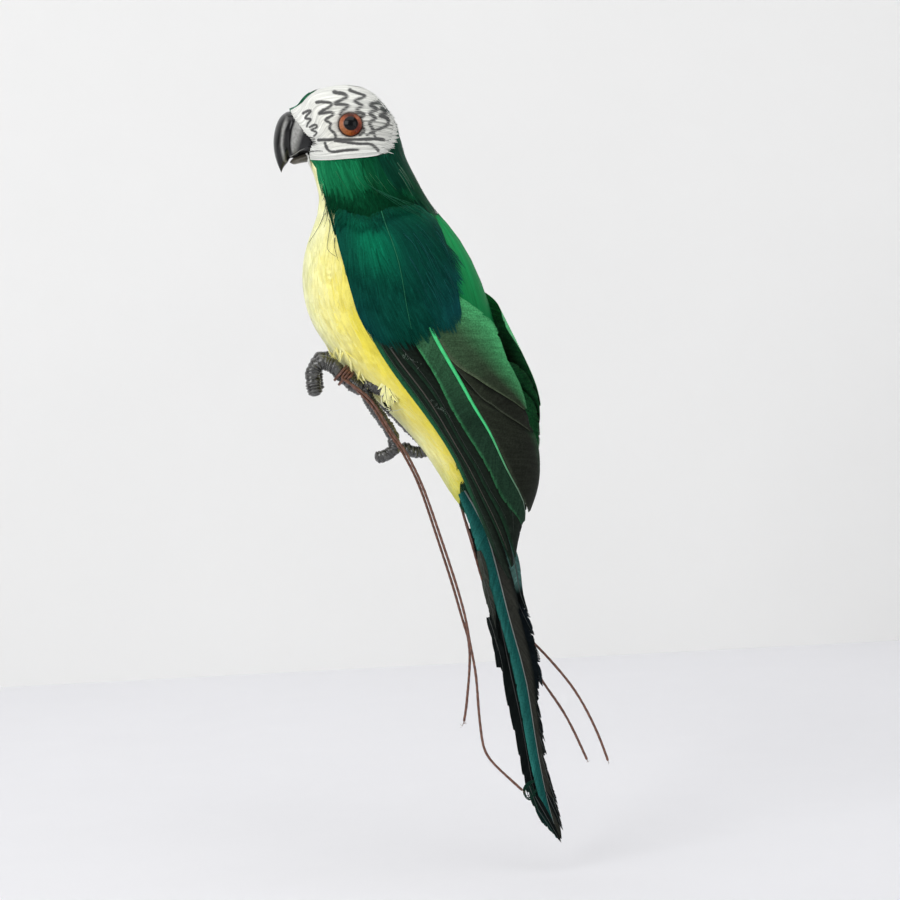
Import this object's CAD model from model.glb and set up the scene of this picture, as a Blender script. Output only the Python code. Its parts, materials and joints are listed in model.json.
"""Looks of a feather parrot figurine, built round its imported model.

The bird faces -X, its left side is -Y and up is +Z. Tables are in millimetres at the drawn
size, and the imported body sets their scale. Angles on a form run round from its front, in
degrees, through the left side to the back.
"""

import json
import math

import bpy
import numpy as np
from mathutils import Matrix, Vector

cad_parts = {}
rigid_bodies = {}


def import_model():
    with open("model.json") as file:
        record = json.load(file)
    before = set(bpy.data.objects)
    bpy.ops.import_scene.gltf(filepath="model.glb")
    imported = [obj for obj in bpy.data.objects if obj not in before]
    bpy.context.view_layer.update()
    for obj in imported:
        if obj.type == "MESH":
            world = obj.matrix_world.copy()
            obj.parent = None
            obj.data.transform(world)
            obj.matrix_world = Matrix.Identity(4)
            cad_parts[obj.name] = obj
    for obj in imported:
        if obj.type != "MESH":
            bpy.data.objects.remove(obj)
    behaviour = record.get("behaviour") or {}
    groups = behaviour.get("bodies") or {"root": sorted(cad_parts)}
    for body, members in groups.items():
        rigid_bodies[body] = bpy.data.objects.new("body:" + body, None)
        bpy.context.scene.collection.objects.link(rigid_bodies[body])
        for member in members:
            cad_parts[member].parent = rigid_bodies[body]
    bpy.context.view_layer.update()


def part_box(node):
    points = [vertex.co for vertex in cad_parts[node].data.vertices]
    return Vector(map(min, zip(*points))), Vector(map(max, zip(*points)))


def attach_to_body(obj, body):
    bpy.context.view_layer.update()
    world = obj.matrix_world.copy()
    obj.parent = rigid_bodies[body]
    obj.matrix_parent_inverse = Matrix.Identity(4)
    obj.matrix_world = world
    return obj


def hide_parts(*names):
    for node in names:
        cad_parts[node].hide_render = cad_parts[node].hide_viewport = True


for thing in list(bpy.data.objects):
    bpy.data.objects.remove(thing)

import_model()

# Stations: front x, z, back x, z, half width.
BODY_STATIONS = [
    (-2, 135, -2, 135, 0), (-12, 133.5, 7.5, 131.5, 9.5), (-20, 129.5, 15.5, 122.5, 15.5),
    (-23.5, 121.5, 19.5, 111, 18), (-22, 112, 21.5, 102, 18), (-19.5, 102, 25, 93, 17.5),
    (-17, 92, 29, 84.5, 18), (-17, 81.5, 34, 76.5, 21.5), (-22, 68.5, 41.5, 66, 27.5),
    (-25.5, 54.5, 49, 50, 31.5), (-24.5, 38.5, 54, 32, 32), (-17.5, 23, 57, 14.5, 29),
    (-5, 6.5, 57.5, -3, 24), (10, -10, 55.5, -19, 18), (24, -28, 51.5, -34, 12),
    (34, -45.5, 47, -47.5, 6.5), (41.5, -57, 41.5, -57, 0),
]
WING_STATIONS = [
    (-18.5, 93, 30.5, 85, 20), (-19, 82.5, 36, 77.5, 23.5), (-24, 69, 43.5, 67, 29.5),
    (-27, 54, 54, 47, 34), (-25, 36.5, 62, 28.5, 35.5), (-15.5, 19.5, 70, 10, 34),
    (-2, 3.5, 75, -6, 30), (13, -13, 75.5, -22, 24.5), (26, -31, 75, -37, 19),
    (36, -48, 72, -50, 14.5), (45, -62, 66, -64, 11.5), (52, -78, 62.5, -79, 8.5),
    (60, -92, 60, -92, 6),
]
BEAK_UPPER_STATIONS = [
    (-12, 118, -12, 118, 0), (-20, 126, -11, 106.8, 12.4), (-28.7, 124.8, -20.5, 106.2, 10.6),
    (-32.9, 120.4, -25.3, 105.6, 8.2), (-34.8, 114.0, -28.4, 104.2, 6.0),
    (-34.9, 107.6, -30.4, 102.6, 4.0), (-34.0, 102.6, -31.9, 100.7, 2.0),
    (-32.7, 98.6, -32.7, 98.6, 0),
]
BEAK_LOWER_STATIONS = [
    (-14, 105, -14, 105, 0), (-18, 107.5, -18, 103.2, 5), (-24, 106.0, -24, 102.4, 4.4),
    (-27.4, 104.6, -27.0, 102.0, 2.6), (-28.8, 102.9, -28.8, 102.9, 0),
]

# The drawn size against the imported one.
body_low, body_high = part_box("body")
UNIT = (body_high.z - body_low.z) / (BODY_STATIONS[0][1] - BODY_STATIONS[-1][1])

# Edges of the feather coats as (station, degrees).
CROWN = {
    "front": [(2.95, -9), (2.3, -11), (1.7, -12), (1.2, -7)],
    "rear": [(2.95, 9), (2.3, 11), (1.7, 12), (1.2, 7)],
}
FACE = {
    "front": [(2.6, 12), (3.2, 26), (3.92, 36), (4.37, 24), (4.83, 9)],
    "rear": [(0.7, 166), (1.24, 163), (1.9, 166), (2.5, 166), (3.12, 152), (3.67, 137), (3.94, 125)],
    "top": [(2.6, 12), (2.1, 10), (1.5, 9), (0.9, 12), (0.4, 70), (0.7, 166)],
    "hem": [(4.83, 9), (4.69, 49), (4.48, 77), (4.18, 108), (3.94, 125)],
}
NECK = {
    "top": [(4.75, 14), (4.3, 77), (4.0, 110), (3.6, 126)],
    "front": [(4.75, 14), (5.15, 29), (5.7, 37.5), (6.2, 38), (6.7, 43)],
    "rear": [(3.6, 126), (4.6, 132), (5.6, 134), (6.6, 139)],
    "hem": [(6.7, 43), (6.9, 51), (7.2, 60), (7.4, 74), (7.4, 86), (7.0, 100), (6.75, 118), (6.6, 139)],
}
NAPE_EDGE = [(0.7, 165), (1.9, 168), (2.65, 166), (3.2, 152), (3.85, 130), (4.2, 124),
             (5, 129), (6, 133), (7.3, 138)]
MANTLE_EDGE = [(6.9, 136), (7.7, 142), (8.9, 140), (10.1, 138)]
MANTLE_HEM = [(10.1, 138), (10.3, 153), (10.6, 180), (10.3, 207), (10.1, 222)]
SHOULDER_INNER = {
    "top": [(7.32, 44), (6.95, 58), (7.2, 74), (7.1, 90), (6.65, 112), (6.6, 139)],
    "front": [(7.32, 44), (7.79, 51), (8.61, 60), (9.63, 65), (10.4, 69)],
    "rear": [(6.6, 139), (7.6, 149), (8.7, 145.5), (9.7, 128)],
    "hem": [(10.4, 69), (10.62, 77), (10.55, 95), (10.2, 110), (9.95, 120), (9.7, 128)],
}
SHOULDER_OUTER = {
    "top": [(1.2, 50), (1.05, 60), (1.25, 75), (1.1, 92), (0.75, 112), (0.6, 139)],
    "front": [(1.2, 50), (1.83, 55), (2.58, 61), (3.52, 64), (4.4, 66)],
    "rear": [(0.6, 139), (1.45, 148), (2.6, 137), (3.8, 126)],
    "hem": [(4.4, 66), (4.63, 74), (4.55, 90), (4.34, 104), (4.15, 117), (3.8, 126)],
}
# Loose barbs beside the neck: a wisp as wide as the next list says, and single hairs.
WISP = [(5.93, 36), (6.39, 33.5), (6.80, 36), (7.23, 43), (7.79, 52)]
WISP_SPREAD = np.array([1.0, 0.8, 0.6, 0.45, 0.2])
HAIRS = [[(7.11, 31), (7.39, 29), (7.72, 25), (8.07, 16)],
         [(7.3, 40), (7.57, 44), (8.05, 45), (8.32, 48), (8.47, 55)],
         [(7.0, 36), (7.3, 37), (7.6, 36)], [(7.9, 52), (8.2, 53), (8.6, 57)]]
# The long fine shaft down the shoulder pad: station and degrees on the wing, height.
PAD_SHAFT = [(1.0, 94.5, 1.0), (1.7, 96.5, 1.2), (2.56, 98, 1.45), (3.45, 95, 1.7), (4.15, 92, 1.9)]

# How far round from the front the yellow feathers reach: stations and degrees.
YELLOW_EDGE = ([4.8, 5.15, 5.7, 6.2, 6.7, 7.2, 7.8, 8.6, 9.6, 10.6, 12.4, 13.5, 14.6, 16.0],
               [18, 33, 41, 42, 47, 58, 62, 66, 72, 78, 82, 88, 96, 120])
YELLOW_TOP, YELLOW_END = 4.7, 15.6
# Length and width of the breast feathers by station, in millimetres.
BREAST_LENGTH = ([YELLOW_TOP, 7.0, 9.0, 13.0, YELLOW_END], [12.0, 17.0, 26.0, 24.0, 14.0])
BREAST_WIDTH = ([YELLOW_TOP, 7.0, 9.0, YELLOW_END], [7.0, 9.0, 15.0, 9.0])
BREAST_ROW = 5.0
# How many small feathers and threads are scattered over each part.
VENT_TUFTS = 70
NAPE_TUFTS = 46
NECK_TUFTS = 170
NECK_UPPER_TUFTS = 50
WISP_BARBS = 16
PAD_TOP_TUFTS = 90
PAD_TUFTS = 60
PAD_THREADS = 30
FACE_REAR_TUFTS = 90
BEAK_BASE_THREADS = 24
TAIL_LOOP_THREADS = 12
# Overlapping tiers of the green coats: shares down the patch where each starts and ends.
NAPE_TIERS = [(0.0, 0.30), (0.14, 0.46), (0.30, 0.62), (0.46, 0.80), (0.62, 1.02)]
NECK_TIERS = [(0.0, 0.50), (0.22, 0.74), (0.46, 0.90), (0.66, 1.0)]
MANTLE_TIERS = [(0.0, 0.55), (0.28, 0.85), (0.55, 1.0)]
# Single large feathers over the mantle: their angles.
MANTLE_SINGLES = (150, 166, 180, 194, 210)
# Layers of the forehead's stripe: where each starts and ends, and how light it is.
CROWN_TIERS = ((0.0, 0.75, 1.15), (0.0, 0.45, 0.9), (0.3, 1.0, 0.9))
RUMP_TOP, RUMP_END, RUMP_STEP, RUMP_REACH, RUMP_PITCH = 9.6, 15.2, 0.42, 62.0, 14.0

# The folded wing's feathers on the wing stations, from the inner one out. Each lies over
# the next, so its rear edge is tucked under the one before. The last value is its height
# over the wing, in layers.
WING_FEATHERS = {
    "secondary_1": ([(3.9, 104), (4.9, 104), (5.38, 113), (5.71, 121), (6.30, 142)],
                    [(3.3, 128), (4.0, 149), (4.73, 146), (5.4, 146), (6.26, 145.5)], 3.4),
    "secondary_2": ([(4.7, 102), (5.84, 108.5), (6.15, 114.5), (6.45, 123.5), (6.90, 146)],
                    [(4.2, 108), (4.9, 118), (5.2, 130), (5.7, 138), (6.5, 146)], 2.5),
    "secondary_3": ([(4.2, 103), (5.48, 102.5), (6.23, 102.5), (6.91, 106), (7.53, 108.5),
                     (8.12, 113), (8.88, 125.5), (9.5, 158)],
                    [(4.2, 108), (5.2, 116), (5.9, 128), (6.5, 142), (6.95, 154), (7.5, 163),
                     (8.4, 168), (9.4, 174)], 1.6),
    "secondary_4": ([(4.1, 89), (5.29, 89), (6.13, 86), (7.11, 86), (8.27, 92), (9.13, 103),
                     (9.85, 142)],
                    [(4.1, 104), (5.3, 103.5), (6.23, 103.5), (6.91, 107), (7.53, 109.2),
                     (8.5, 119.5), (9.75, 152)], 2.4),
    "primary_1": ([(4.3, 73), (5.35, 78), (6.28, 78), (7.31, 74.5), (8.0, 76.5), (8.84, 81),
                   (10.03, 102), (10.85, 134)],
                  [(4.2, 92), (5.29, 92), (6.13, 90), (7.11, 90), (8.27, 96), (9.13, 107),
                   (10, 139), (10.8, 141)], 1.2),
    "primary_2": ([(4.3, 69), (5.4, 69.4), (6.28, 68.8), (7.31, 66.5), (8.1, 66.5),
                   (8.9, 68.8), (10.03, 79), (11.15, 113)],
                  [(4.3, 80), (5.35, 81), (6.28, 81), (7.31, 78), (8, 80), (8.84, 84),
                   (10.03, 103), (11.05, 133)], 0.7),
    "primary_3": ([(4.4, 65), (5.5, 62), (6.15, 60.5), (7.2, 58.5), (8.05, 56.5), (9, 51.5),
                   (9.8, 44.5), (10.6, 41), (11.6, 62)],
                  [(4.4, 72), (5.4, 72.5), (6.28, 72), (7.3, 70), (8.1, 70), (8.9, 72),
                   (10, 81), (11.5, 106)], 0.1),
}
SECONDARIES_IN_SIGHT = ("secondary_1", "secondary_2", "secondary_3")
WING_LAYER = 0.3
# A dark feather under the first primary, seen only between it and the tips behind it.
UNDER_PRIMARY = {
    "front": [(6.5, 85), (8.0, 90), (9.13, 98), (10.03, 108), (10.8, 133)],
    "rear": [(6.5, 108), (8.0, 126), (9.0, 142), (9.6, 152), (10.1, 152), (10.75, 143)],
}
UNDER_LAYERS = 0.95
# Where the feather over it leaves each wing feather in sight: places down it and across it.
WING_CREASES = {
    "secondary_2": ([0.0, 0.25, 0.5, 0.75, 1.0], [0.20, 0.48, 0.44, 0.58, 1.0]),
    "secondary_3": ([0.0, 0.143, 0.286, 0.43, 0.571, 0.6], [0.0, 0.2, 0.41, 0.72, 1.0, 1.6]),
    "primary_1": ([0.0, 1.0], [0.76, 0.8]),
    "primary_2": ([0.0, 1.0], [0.82, 0.85]),
    "primary_3": ([0.0, 1.0], [0.86, 0.9]),
}
# The far wing's rear part reaches round the back over the near wing.
OVERLAP_FROM = 105.0
OVERLAP_STATIONS = [3.5, 6.2, 7.2, 7.6]
OVERLAP_STRETCH = [2.05, 1.85, 1.25, 1.0]
OVERLAP_LIMIT = [196.0, 192.0, 176.0, 174.0]

# Tail feathers: left edge and right edge in x, z, and the depth left of the mid-plane.
TAIL_DEPTH_SHARES = [0.0, 0.1, 0.3, 1.0]
TAIL_FEATHERS = {
    "tail_feather_long_left": (
        [(37.5, -47), (41.9, -61.7), (46.5, -80), (53.2, -106), (58.9, -135), (62.5, -163),
         (67.1, -188), (73.5, -206)],
        [(42.5, -44), (53, -62), (59, -80), (64, -106), (68, -135), (70, -163), (74.6, -188),
         (76.2, -206.5)],
        (7.7, 5.8, 3.3, 1.5)),
    "tail_feather_dark_left": (
        [(41.5, -63), (44.4, -78), (48.1, -103), (51, -129), (56.7, -155), (60.8, -181),
         (67.5, -199)],
        [(48.5, -61), (53, -78), (57, -103), (61.5, -129), (64.5, -155), (67, -181),
         (70, -200)],
        (4.1, 3.0, 1.9, 0.0)),
    "tail_feather_dark_right": (
        [(44, -61), (50, -78), (57, -99), (62, -117), (66.5, -137.5)],
        [(52, -61), (60, -78), (64.5, -103), (68.6, -115.5), (69.6, -138)],
        (-2.9, -2.4, -1.9, -1.1)),
    "tail_feather_long_right": (
        [(38.5, -47), (43.5, -61.7), (49, -80), (55.2, -106), (60.9, -135), (64.5, -163),
         (68.1, -184)],
        [(43.5, -44), (54, -62), (60, -80), (65, -106), (69, -135), (70.6, -163),
         (71.5, -184)],
        (-7.7, -5.8, -3.5, -2.6)),
    "tail_covert": (
        [(52, -64), (57.5, -78), (60.5, -93), (65.5, -102)],
        [(60, -64), (65, -78), (65.4, -91), (66.4, -102.4)],
        (0.6, 0.5, 0.5, 0.4)),
}
TAIL_WIDTH = 12.0
# Where the long left tail feather's shaft runs across it: places down it and across it.
TAIL_SHAFT = ([0.0, 0.143, 0.286, 0.43, 0.571, 0.714, 0.857, 1.0],
              [0.60, 0.57, 0.50, 0.42, 0.55, 0.60, 0.45, 0.40])
# Ragged edges: place down the feather, depth of the step, and the length it swells over.
LEFT_BLACK_STEPS = [(0.16, 0.10, 0.2), (0.30, 0.08, 0.12), (0.40, 0.06, 0.10), (0.485, 0.24, 0.16),
                    (0.60, 0.06, 0.06), (0.67, 0.07, 0.06), (0.74, 0.08, 0.05), (0.80, 0.10, 0.05),
                    (0.86, 0.12, 0.05), (0.92, 0.14, 0.04)]
RIGHT_RAGGED_STEPS = [(0.36, 0.16, 0.10), (0.50, 0.12, 0.08), (0.62, 0.20, 0.06), (0.72, 0.16, 0.05),
                      (0.80, 0.14, 0.05), (0.87, 0.2, 0.05), (0.93, 0.25, 0.04)]
RIGHT_EDGE_STEPS = [(0.40, 0.10, 0.12), (0.62, 0.08, 0.08), (0.74, 0.10, 0.06), (0.84, 0.12, 0.06),
                    (0.92, 0.2, 0.05)]

# Feet and wires: x, z of the middle line, as the solids have them.
FRONT_TOE = [(-1.0, 1.8), (-4.8, 4.0), (-8.4, 7.0), (-12.3, 11.2), (-16.3, 14.3),
             (-20.1, 14.9), (-22.8, 12.2), (-23.5, 8.0), (-23.2, 4.0), (-22.9, 0.3)]
LEFT_REAR_TOE = [(-2.4, 4.2), (0.0, -1.0), (2.2, -5.5), (5.2, -10.1), (8.2, -14.9),
                 (10.2, -20.0), (10.0, -24.6), (6.6, -27.3), (1.6, -28.2)]
RIGHT_REAR_TOE = [(-2.4, 4.2), (2.0, -0.6), (7.0, -6.4), (12.4, -12.6), (17.6, -18.4),
                  (22.2, -23.4), (24.2, -27.8), (20.5, -29.4), (16.2, -27.8), (12.6, -26.4)]
LEG = [(-1.6, 5.2), (2.0, 4.2), (7.0, 1.8), (14.0, -2.0)]
LEG_LEAN = 5.0
FRONT_TOE_DIAMETER = 0.0068
REAR_TOE_DIAMETER = 0.0056
LEG_DIAMETER = 0.0060
FOOT_SPREAD = 0.0118
TAPE_PITCH = 0.0018
TAPE_STEP = 0.00018
TAPE_SIDES = 20
TIE_WIRE_DIAMETER = 0.0012
GAP = 0.0003
WIRE_WRAP_TURNS = 1.25
WIRE_WRAP_STEPS = 16
WIRE_WRAP_SPACE = 0.6
WIRE_WRAP_AT = (-11.6, 10.4)
WIRE_RINGS = 420
WIRE_SIDES = 10
LEFT_WIRE_STEP = 0.8
LEFT_WIRE_RUN = [(-2.6, 1.5), (3.4, -6.0), (9.2, -17.0), (13.9, -24.3), (19.9, -37.1),
                 (24.0, -49.7), (27.5, -62.4), (31.0, -75.1), (34.3, -87.8), (37.1, -100.5)]
LEFT_WIRE_ENDS = {
    "a": [(38.6, -110.0), (38.8, -119.5), (37.6, -131.0), (36.2, -141.0), (34.9, -147.2)],
    "b": [(39.3, -111.0), (41.0, -126.0), (41.7, -141.0), (42.2, -153.0), (43.6, -160.8),
          (47.5, -167.0), (53.6, -173.6), (59.1, -179.4)],
}
RIGHT_WIRE_START = [(-1.6, 2.0, 0.1), (4.8, -3.0, 0.9), (13.5, -10.5, 1.4), (21.5, -21.5, -0.6),
                    (30.5, -36.5, -3.6), (37.3, -50.5, -6.1), (40.0, -60.2, -7.1)]
RIGHT_WIRE_ENDS = {
    "a": [(44.6, -75.0, -7.5), (50.0, -92.0, -7.9), (58.5, -108.0, -7.7), (68.1, -118.2, -7.1),
          (79.3, -131.6, -6.6), (87.5, -144.5, -6.1), (94.5, -160.0, -6.1), (99.1, -174.1, -6.1)],
    "b": [(43.4, -75.0, -5.5), (47.5, -92.0, -5.9), (54.5, -107.0, -5.7), (62.0, -116.5, -5.5),
          (68.5, -131.0, -5.5), (78.1, -147.6, -5.1), (84.6, -160.6, -4.9), (89.6, -173.3, -4.6)],
}

EYE_STATION = 2.78
EYE_ANGLE = 94.0
EYE_SINK = 0.0018
EYE_DIAMETER = 0.0110
EYE_RINGS = 90
EYE_SIDES = 100
# The iris round the pupil, in degrees from its front edge over the top: turn and colour.
IRIS = [(0, (228, 148, 106)), (40, (196, 104, 66)), (75, (96, 36, 16)), (105, (104, 40, 18)),
        (140, (214, 122, 84)), (175, (176, 84, 54)), (215, (136, 42, 18)), (255, (170, 74, 28)),
        (285, (206, 112, 44)), (320, (198, 118, 60)), (360, (228, 148, 106))]

# Where the face's barbs leave the beak, as x, y, z on the left side.
BEAK_BASE = [(-27.0, -4.4, 125.6), (-25.2, -9.2, 122.0), (-22.7, -12.0, 118.6), (-20.3, -12.9, 115.0),
             (-17.7, -13.0, 111.6), (-18.8, -11.0, 109.0), (-20.0, -2.4, 103.8)]
# The groove that bounds the beak's ridge, in x, z.
BEAK_GROOVE = [(-26.6, 125.0), (-26.3, 121.6), (-27.6, 118.0), (-28.4, 114.5), (-28.9, 111.5),
               (-28.9, 108.9), (-28.6, 104.9)]
# The line on the cheek of the beak where its sheen gives way to black, in x, z.
CHEEK_LINE = [(-21.5, 117.2), (-25.7, 107.3)]
BEAK_THREAD = [(-28, -3.6, 105.6), (-25.8, -5.6, 106.6), (-23.6, -7.2, 107.9), (-21.6, -8.6, 108.6)]
CROWN_TIP = (-27.6, 0.0, 126.4)

# Marker strokes on the face: the pen's width at the start and the end, then points x, z.
STROKES = [
    (1.0, 0.7, [(-21.2, 124.0), (-19.4, 124.8), (-17.8, 124.8), (-19.3, 123.2), (-20.2, 121.7),
                (-18.0, 121.3), (-19.2, 119.6), (-19.8, 118.2)]),
    (0.9, 0.7, [(-18.6, 117.8), (-16.0, 118.7), (-15.7, 117.5), (-17.8, 116.6), (-15.8, 115.6),
                (-16.8, 114.0)]),
    (1.1, 1.0, [(-15.0, 128.4), (-12.0, 128.4), (-8.9, 127.7), (-9.3, 126.2), (-12.8, 124.5),
                (-13.6, 123.4), (-8.9, 123.8), (-8.7, 122.2), (-11.4, 120.6), (-9.3, 119.0),
                (-9.8, 117.0), (-7.8, 114.6), (-7.5, 112.6)]),
    (1.4, 1.0, [(-7.2, 132.5), (-5.3, 131.9), (-3.0, 131.4), (-2.0, 130.0), (-4.8, 128.6), (-6.9, 127.3),
                (-3.6, 126.9), (-1.4, 126.1), (-3.6, 124.4), (-4.9, 122.8)]),
    (1.3, 0.8, [(-0.3, 133.0), (0.1, 132.6)]),
    (1.0, 1.2, [(-0.1, 132.8), (3.4, 131.3), (6.0, 130.2), (4.5, 129.2), (1.7, 128.2), (3.5, 126.8),
                (4.7, 125.9), (3.0, 124.7), (2.3, 123.5), (4.8, 122.6), (5.1, 121.5), (3.5, 120.5),
                (4.1, 119.4)]),
    (1.0, 0.9, [(3.3, 117.4), (4.7, 116.4), (5.1, 114.9), (3.0, 113.2)]),
    (1.3, 1.1, [(11.6, 126.9), (8.6, 126.4), (9.3, 125.2), (11.0, 123.9), (8.0, 122.6), (9.6, 121.0),
                (9.7, 119.8), (7.7, 118.3), (8.4, 116.3), (9.2, 114.2), (9.6, 112.1)]),
    (1.6, 0.9, [(13.0, 124.3), (14.8, 122.3), (12.3, 121.4), (14.9, 120.1), (15.5, 117.8),
                (13.7, 116.2), (9.8, 114.9), (6.2, 113.2)]),
    (1.2, 1.3, [(-15.0, 112.1), (-7.9, 111.9), (1.1, 111.5), (9.4, 111.3), (13.3, 110.7)]),
    (1.0, 1.1, [(-7.8, 111.4), (-1.5, 110.3), (3.1, 109.5), (7.6, 109.1), (10.6, 106.3)]),
    (1.1, 1.0, [(-12.2, 110.6), (-10.2, 107.0), (-4.6, 107.0), (1.9, 107.1)]),
    (0.5, 0.3, [(-19.4, 107.2), (-16.9, 107.4), (-13.6, 107.2)]),
]
PEN_SPREAD = 1.2
PEN_EDGE = 0.17

DOWN_CURL = [(9.5, -18, 1.5), (7, -20.5, 0.5), (6.2, -21, -2.5), (7.6, -21, -5.2), (10, -20.5, -6.2)]
DOWN_HAIR = [(8, -20.2, -6.6), (12, -18, -7.2), (16, -16.5, -6.4)]
# Specks of glue on the near wing: station, degrees, count.
SPECKS = [(4.85, 80.0, 26), (6.35, 79.0, 24), (3.45, 69.0, 8)]

CAMERA_DISTANCE = 1.300
CAMERA_LENS = 117.0
CAMERA_SENSOR = 36.0
CAMERA_ELEVATION = math.radians(6.3)
CAMERA_ROLL = math.radians(3.0)
CAMERA_TARGET = Vector((0.034963, 0.0, -0.027753))
# Lights: name, place, target, size, power.
LIGHTS = [
    ("key", (-1.5, -1.7, 1.1), (0.03, 0, -0.03), (1.5, 1.5), 31.5),
    ("fill", (1.7, -1.6, 0.5), (0.03, 0, -0.03), (1.4, 1.6), 9.0),
    ("top", (0.0, -0.5, 1.8), (0.03, 0.1, 0), (2.2, 1.4), 17.0),
]
SKY_COLOUR = (1.0, 1.0, 0.99, 1.0)
SKY_STRENGTH = 0.26
FLOOR_Z = -0.222
WALL_Y = 0.53
STAGE_REACH = 3
FLOOR_COLOUR = (0.815, 0.815, 0.845)
WALL_COLOUR = (0.845, 0.845, 0.838)

QUILL_ROWS = 18
# How wide a loose barb is at its tip, against its root.
BARB_TIP = 0.3
# Noise scales on the barbs' chart, along and across them: thin streaks and wide ones.
BARB_SCALES = ((0.10, 2.6, 0.0), (0.06, 0.572, 0.0))


def srgb(red, green, blue):
    """Linear colour from screen values of 0 to 255."""
    share = np.array([red, green, blue], float) / 255.0
    return np.where(share <= 0.04045, share / 12.92, ((share + 0.055) / 1.055) ** 2.4)


PALE_YELLOW = srgb(254, 255, 206)
DEEP_YELLOW = srgb(249, 234, 90)
OLIVE_YELLOW = srgb(206, 208, 70)
WHITE_BARB = srgb(222, 223, 218)
INK = srgb(46, 47, 50)
NECK_GREEN = srgb(20, 108, 68)
NAPE_GREEN = srgb(12, 62, 46)
DEEP_TEAL = srgb(11, 68, 56)
BRIGHT_TEAL = srgb(10, 102, 73)
BLUE_TIP = srgb(22, 78, 88)
MANTLE_GREEN = srgb(30, 142, 80)
MANTLE_DARK = srgb(16, 100, 54)
OLIVE_DARK = srgb(46, 56, 42)
RIM_GREEN = srgb(58, 134, 84)
MINT = srgb(58, 208, 124)
MINT_FADE = np.clip(np.linspace(-1.0, 1.2, QUILL_ROWS), 0.0, 1.0)[:, None]
MINT_SHAFT = MINT * (1 - MINT_FADE) + srgb(92, 116, 98) * MINT_FADE
PRIMARY_DARK = srgb(26, 34, 28)
PRIMARY_GREEN = srgb(22, 58, 38)
TAIL_RIM = srgb(40, 104, 97)
TAIL_TEAL = srgb(20, 70, 67)
TAIL_GREY = srgb(58, 64, 62)
TAIL_BLACK = srgb(14, 18, 18)
BLUE_BLACK = srgb(18, 24, 28)
PALE_SHAFT = srgb(150, 160, 158)

# How barbs lie together: shares of their length that are joined, and how they part.
SMOOTH = dict(attach=0.97, split=0.05, fray=0.006, cluster=20, clump=0.2)
RAGGED = dict(attach=0.86, split=0.30, fray=0.05, cluster=12, clump=0.5)

# Wing feathers: barbs, length and width in mm, shaft place, sweep, quill, quill colour.
WING_LOOK = {
    "secondary_1": (120, (62.0, 34.0), 0.04, 0.42, 0.0003, srgb(60, 70, 50)),
    "secondary_2": (100, (60.0, 30.0), 0.04, 0.42, 0.0003, srgb(40, 46, 36)),
    "secondary_3": (190, (105.0, 34.0), 0.03, 0.30, 0.0003, srgb(40, 46, 36)),
    "secondary_4": (200, (110.0, 14.0), 0.93, 0.10, 0.0018, MINT_SHAFT),
    "primary_1": (240, (130.0, 12.0), 0.30, 0.08, 0.0003, srgb(22, 26, 22)),
    "primary_2": (260, (135.0, 10.0), 0.35, 0.08, 0.0007, srgb(64, 58, 50)),
    "primary_3": (280, (150.0, 12.0), 0.55, 0.08, 0.0003, srgb(28, 36, 30)),
}

# Loose feathers on the tail's edges: depth, colour, how light the tip is against the root,
# style, and for each its start x, z, end x, z and width.
TAIL_TUFTS = {
    "tail_feather_long_left": [(2.0, TAIL_BLACK, 1.0, dict(bow=0.3, fray=0.1), [
        (66.1, -141, 69.2, -150.4, 2), (67, -150, 70.1, -159.4, 2), (68.2, -158, 71.3, -167.4, 2),
        (68.6, -167, 71.7, -176.4, 2), (70.2, -174, 73.3, -183.4, 2), (72, -181, 75.1, -190.4, 2),
        (73, -187, 76.1, -196.4, 2), (73.8, -193, 76.9, -202.4, 2)])],
    "tail_feather_dark_right": [(-1.8, BLUE_BLACK, 1.0, dict(bow=0.4, fray=0.1), [
        (60, -88, 66.1, -102.4, 1.8), (60.4, -94, 68.4, -113.6, 5), (61.2, -101, 66.4, -122.4, 3.4),
        (64.6, -112, 71, -137, 6), (65.4, -126, 66.9, -142.5, 3.6), (66.6, -140, 68.6, -150.6, 1.6),
        (68, -150, 71, -162.6, 1.6), (68.4, -156, 70.6, -166.8, 1.4)])],
    "tail_feather_dark_left": [
        (4.6, srgb(58, 62, 55), 0.6, dict(bow=-0.5, **SMOOTH), [(45.4, -73, 48.8, -95, 3.4)]),
        (4.6, srgb(50, 54, 49), 0.6, dict(bow=-0.5, **SMOOTH), [(46.9, -86, 51.2, -108.6, 3.6)]),
        (4.6, srgb(22, 26, 25), 0.6, dict(bow=-0.5, **SMOOTH), [(48.2, -103, 51.6, -119, 3.6)]),
        (4.6, TAIL_BLACK, 0.6, dict(bow=-0.5, **SMOOTH), [(50.4, -112, 53.6, -129, 4.4)]),
        (2.2, srgb(16, 40, 32), 1.0, dict(fray=0.12), [(62.6, -181, 66.6, -194, 3)]),
        (2.2, TAIL_BLACK, 1.0, dict(fray=0.12), [(65, -186, 75.8, -208, 4.4)]),
        (2.2, srgb(12, 36, 33), 1.0, dict(fray=0.12), [(66, -192, 73.2, -204.4, 3.8)]),
        (2.2, TAIL_BLACK, 1.0, dict(fray=0.12), [(70, -184, 76.4, -200.4, 3.2)])],
}


def mix(one, other, share):
    """One colour turning into another by a share."""
    share = np.clip(np.asarray(share, float), 0.0, 1.0)[..., None]
    return one * (1 - share) + other * share


def ramp(value, start, width):
    """Share that rises from 0 at start to 1 a width further on."""
    return np.clip((value - start) / width, 0.0, 1.0)


def bell(value, centre, width):
    """Share that is 1 at the centre and falls off to both sides."""
    return np.exp(-((value - centre) / width) ** 2)


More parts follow.
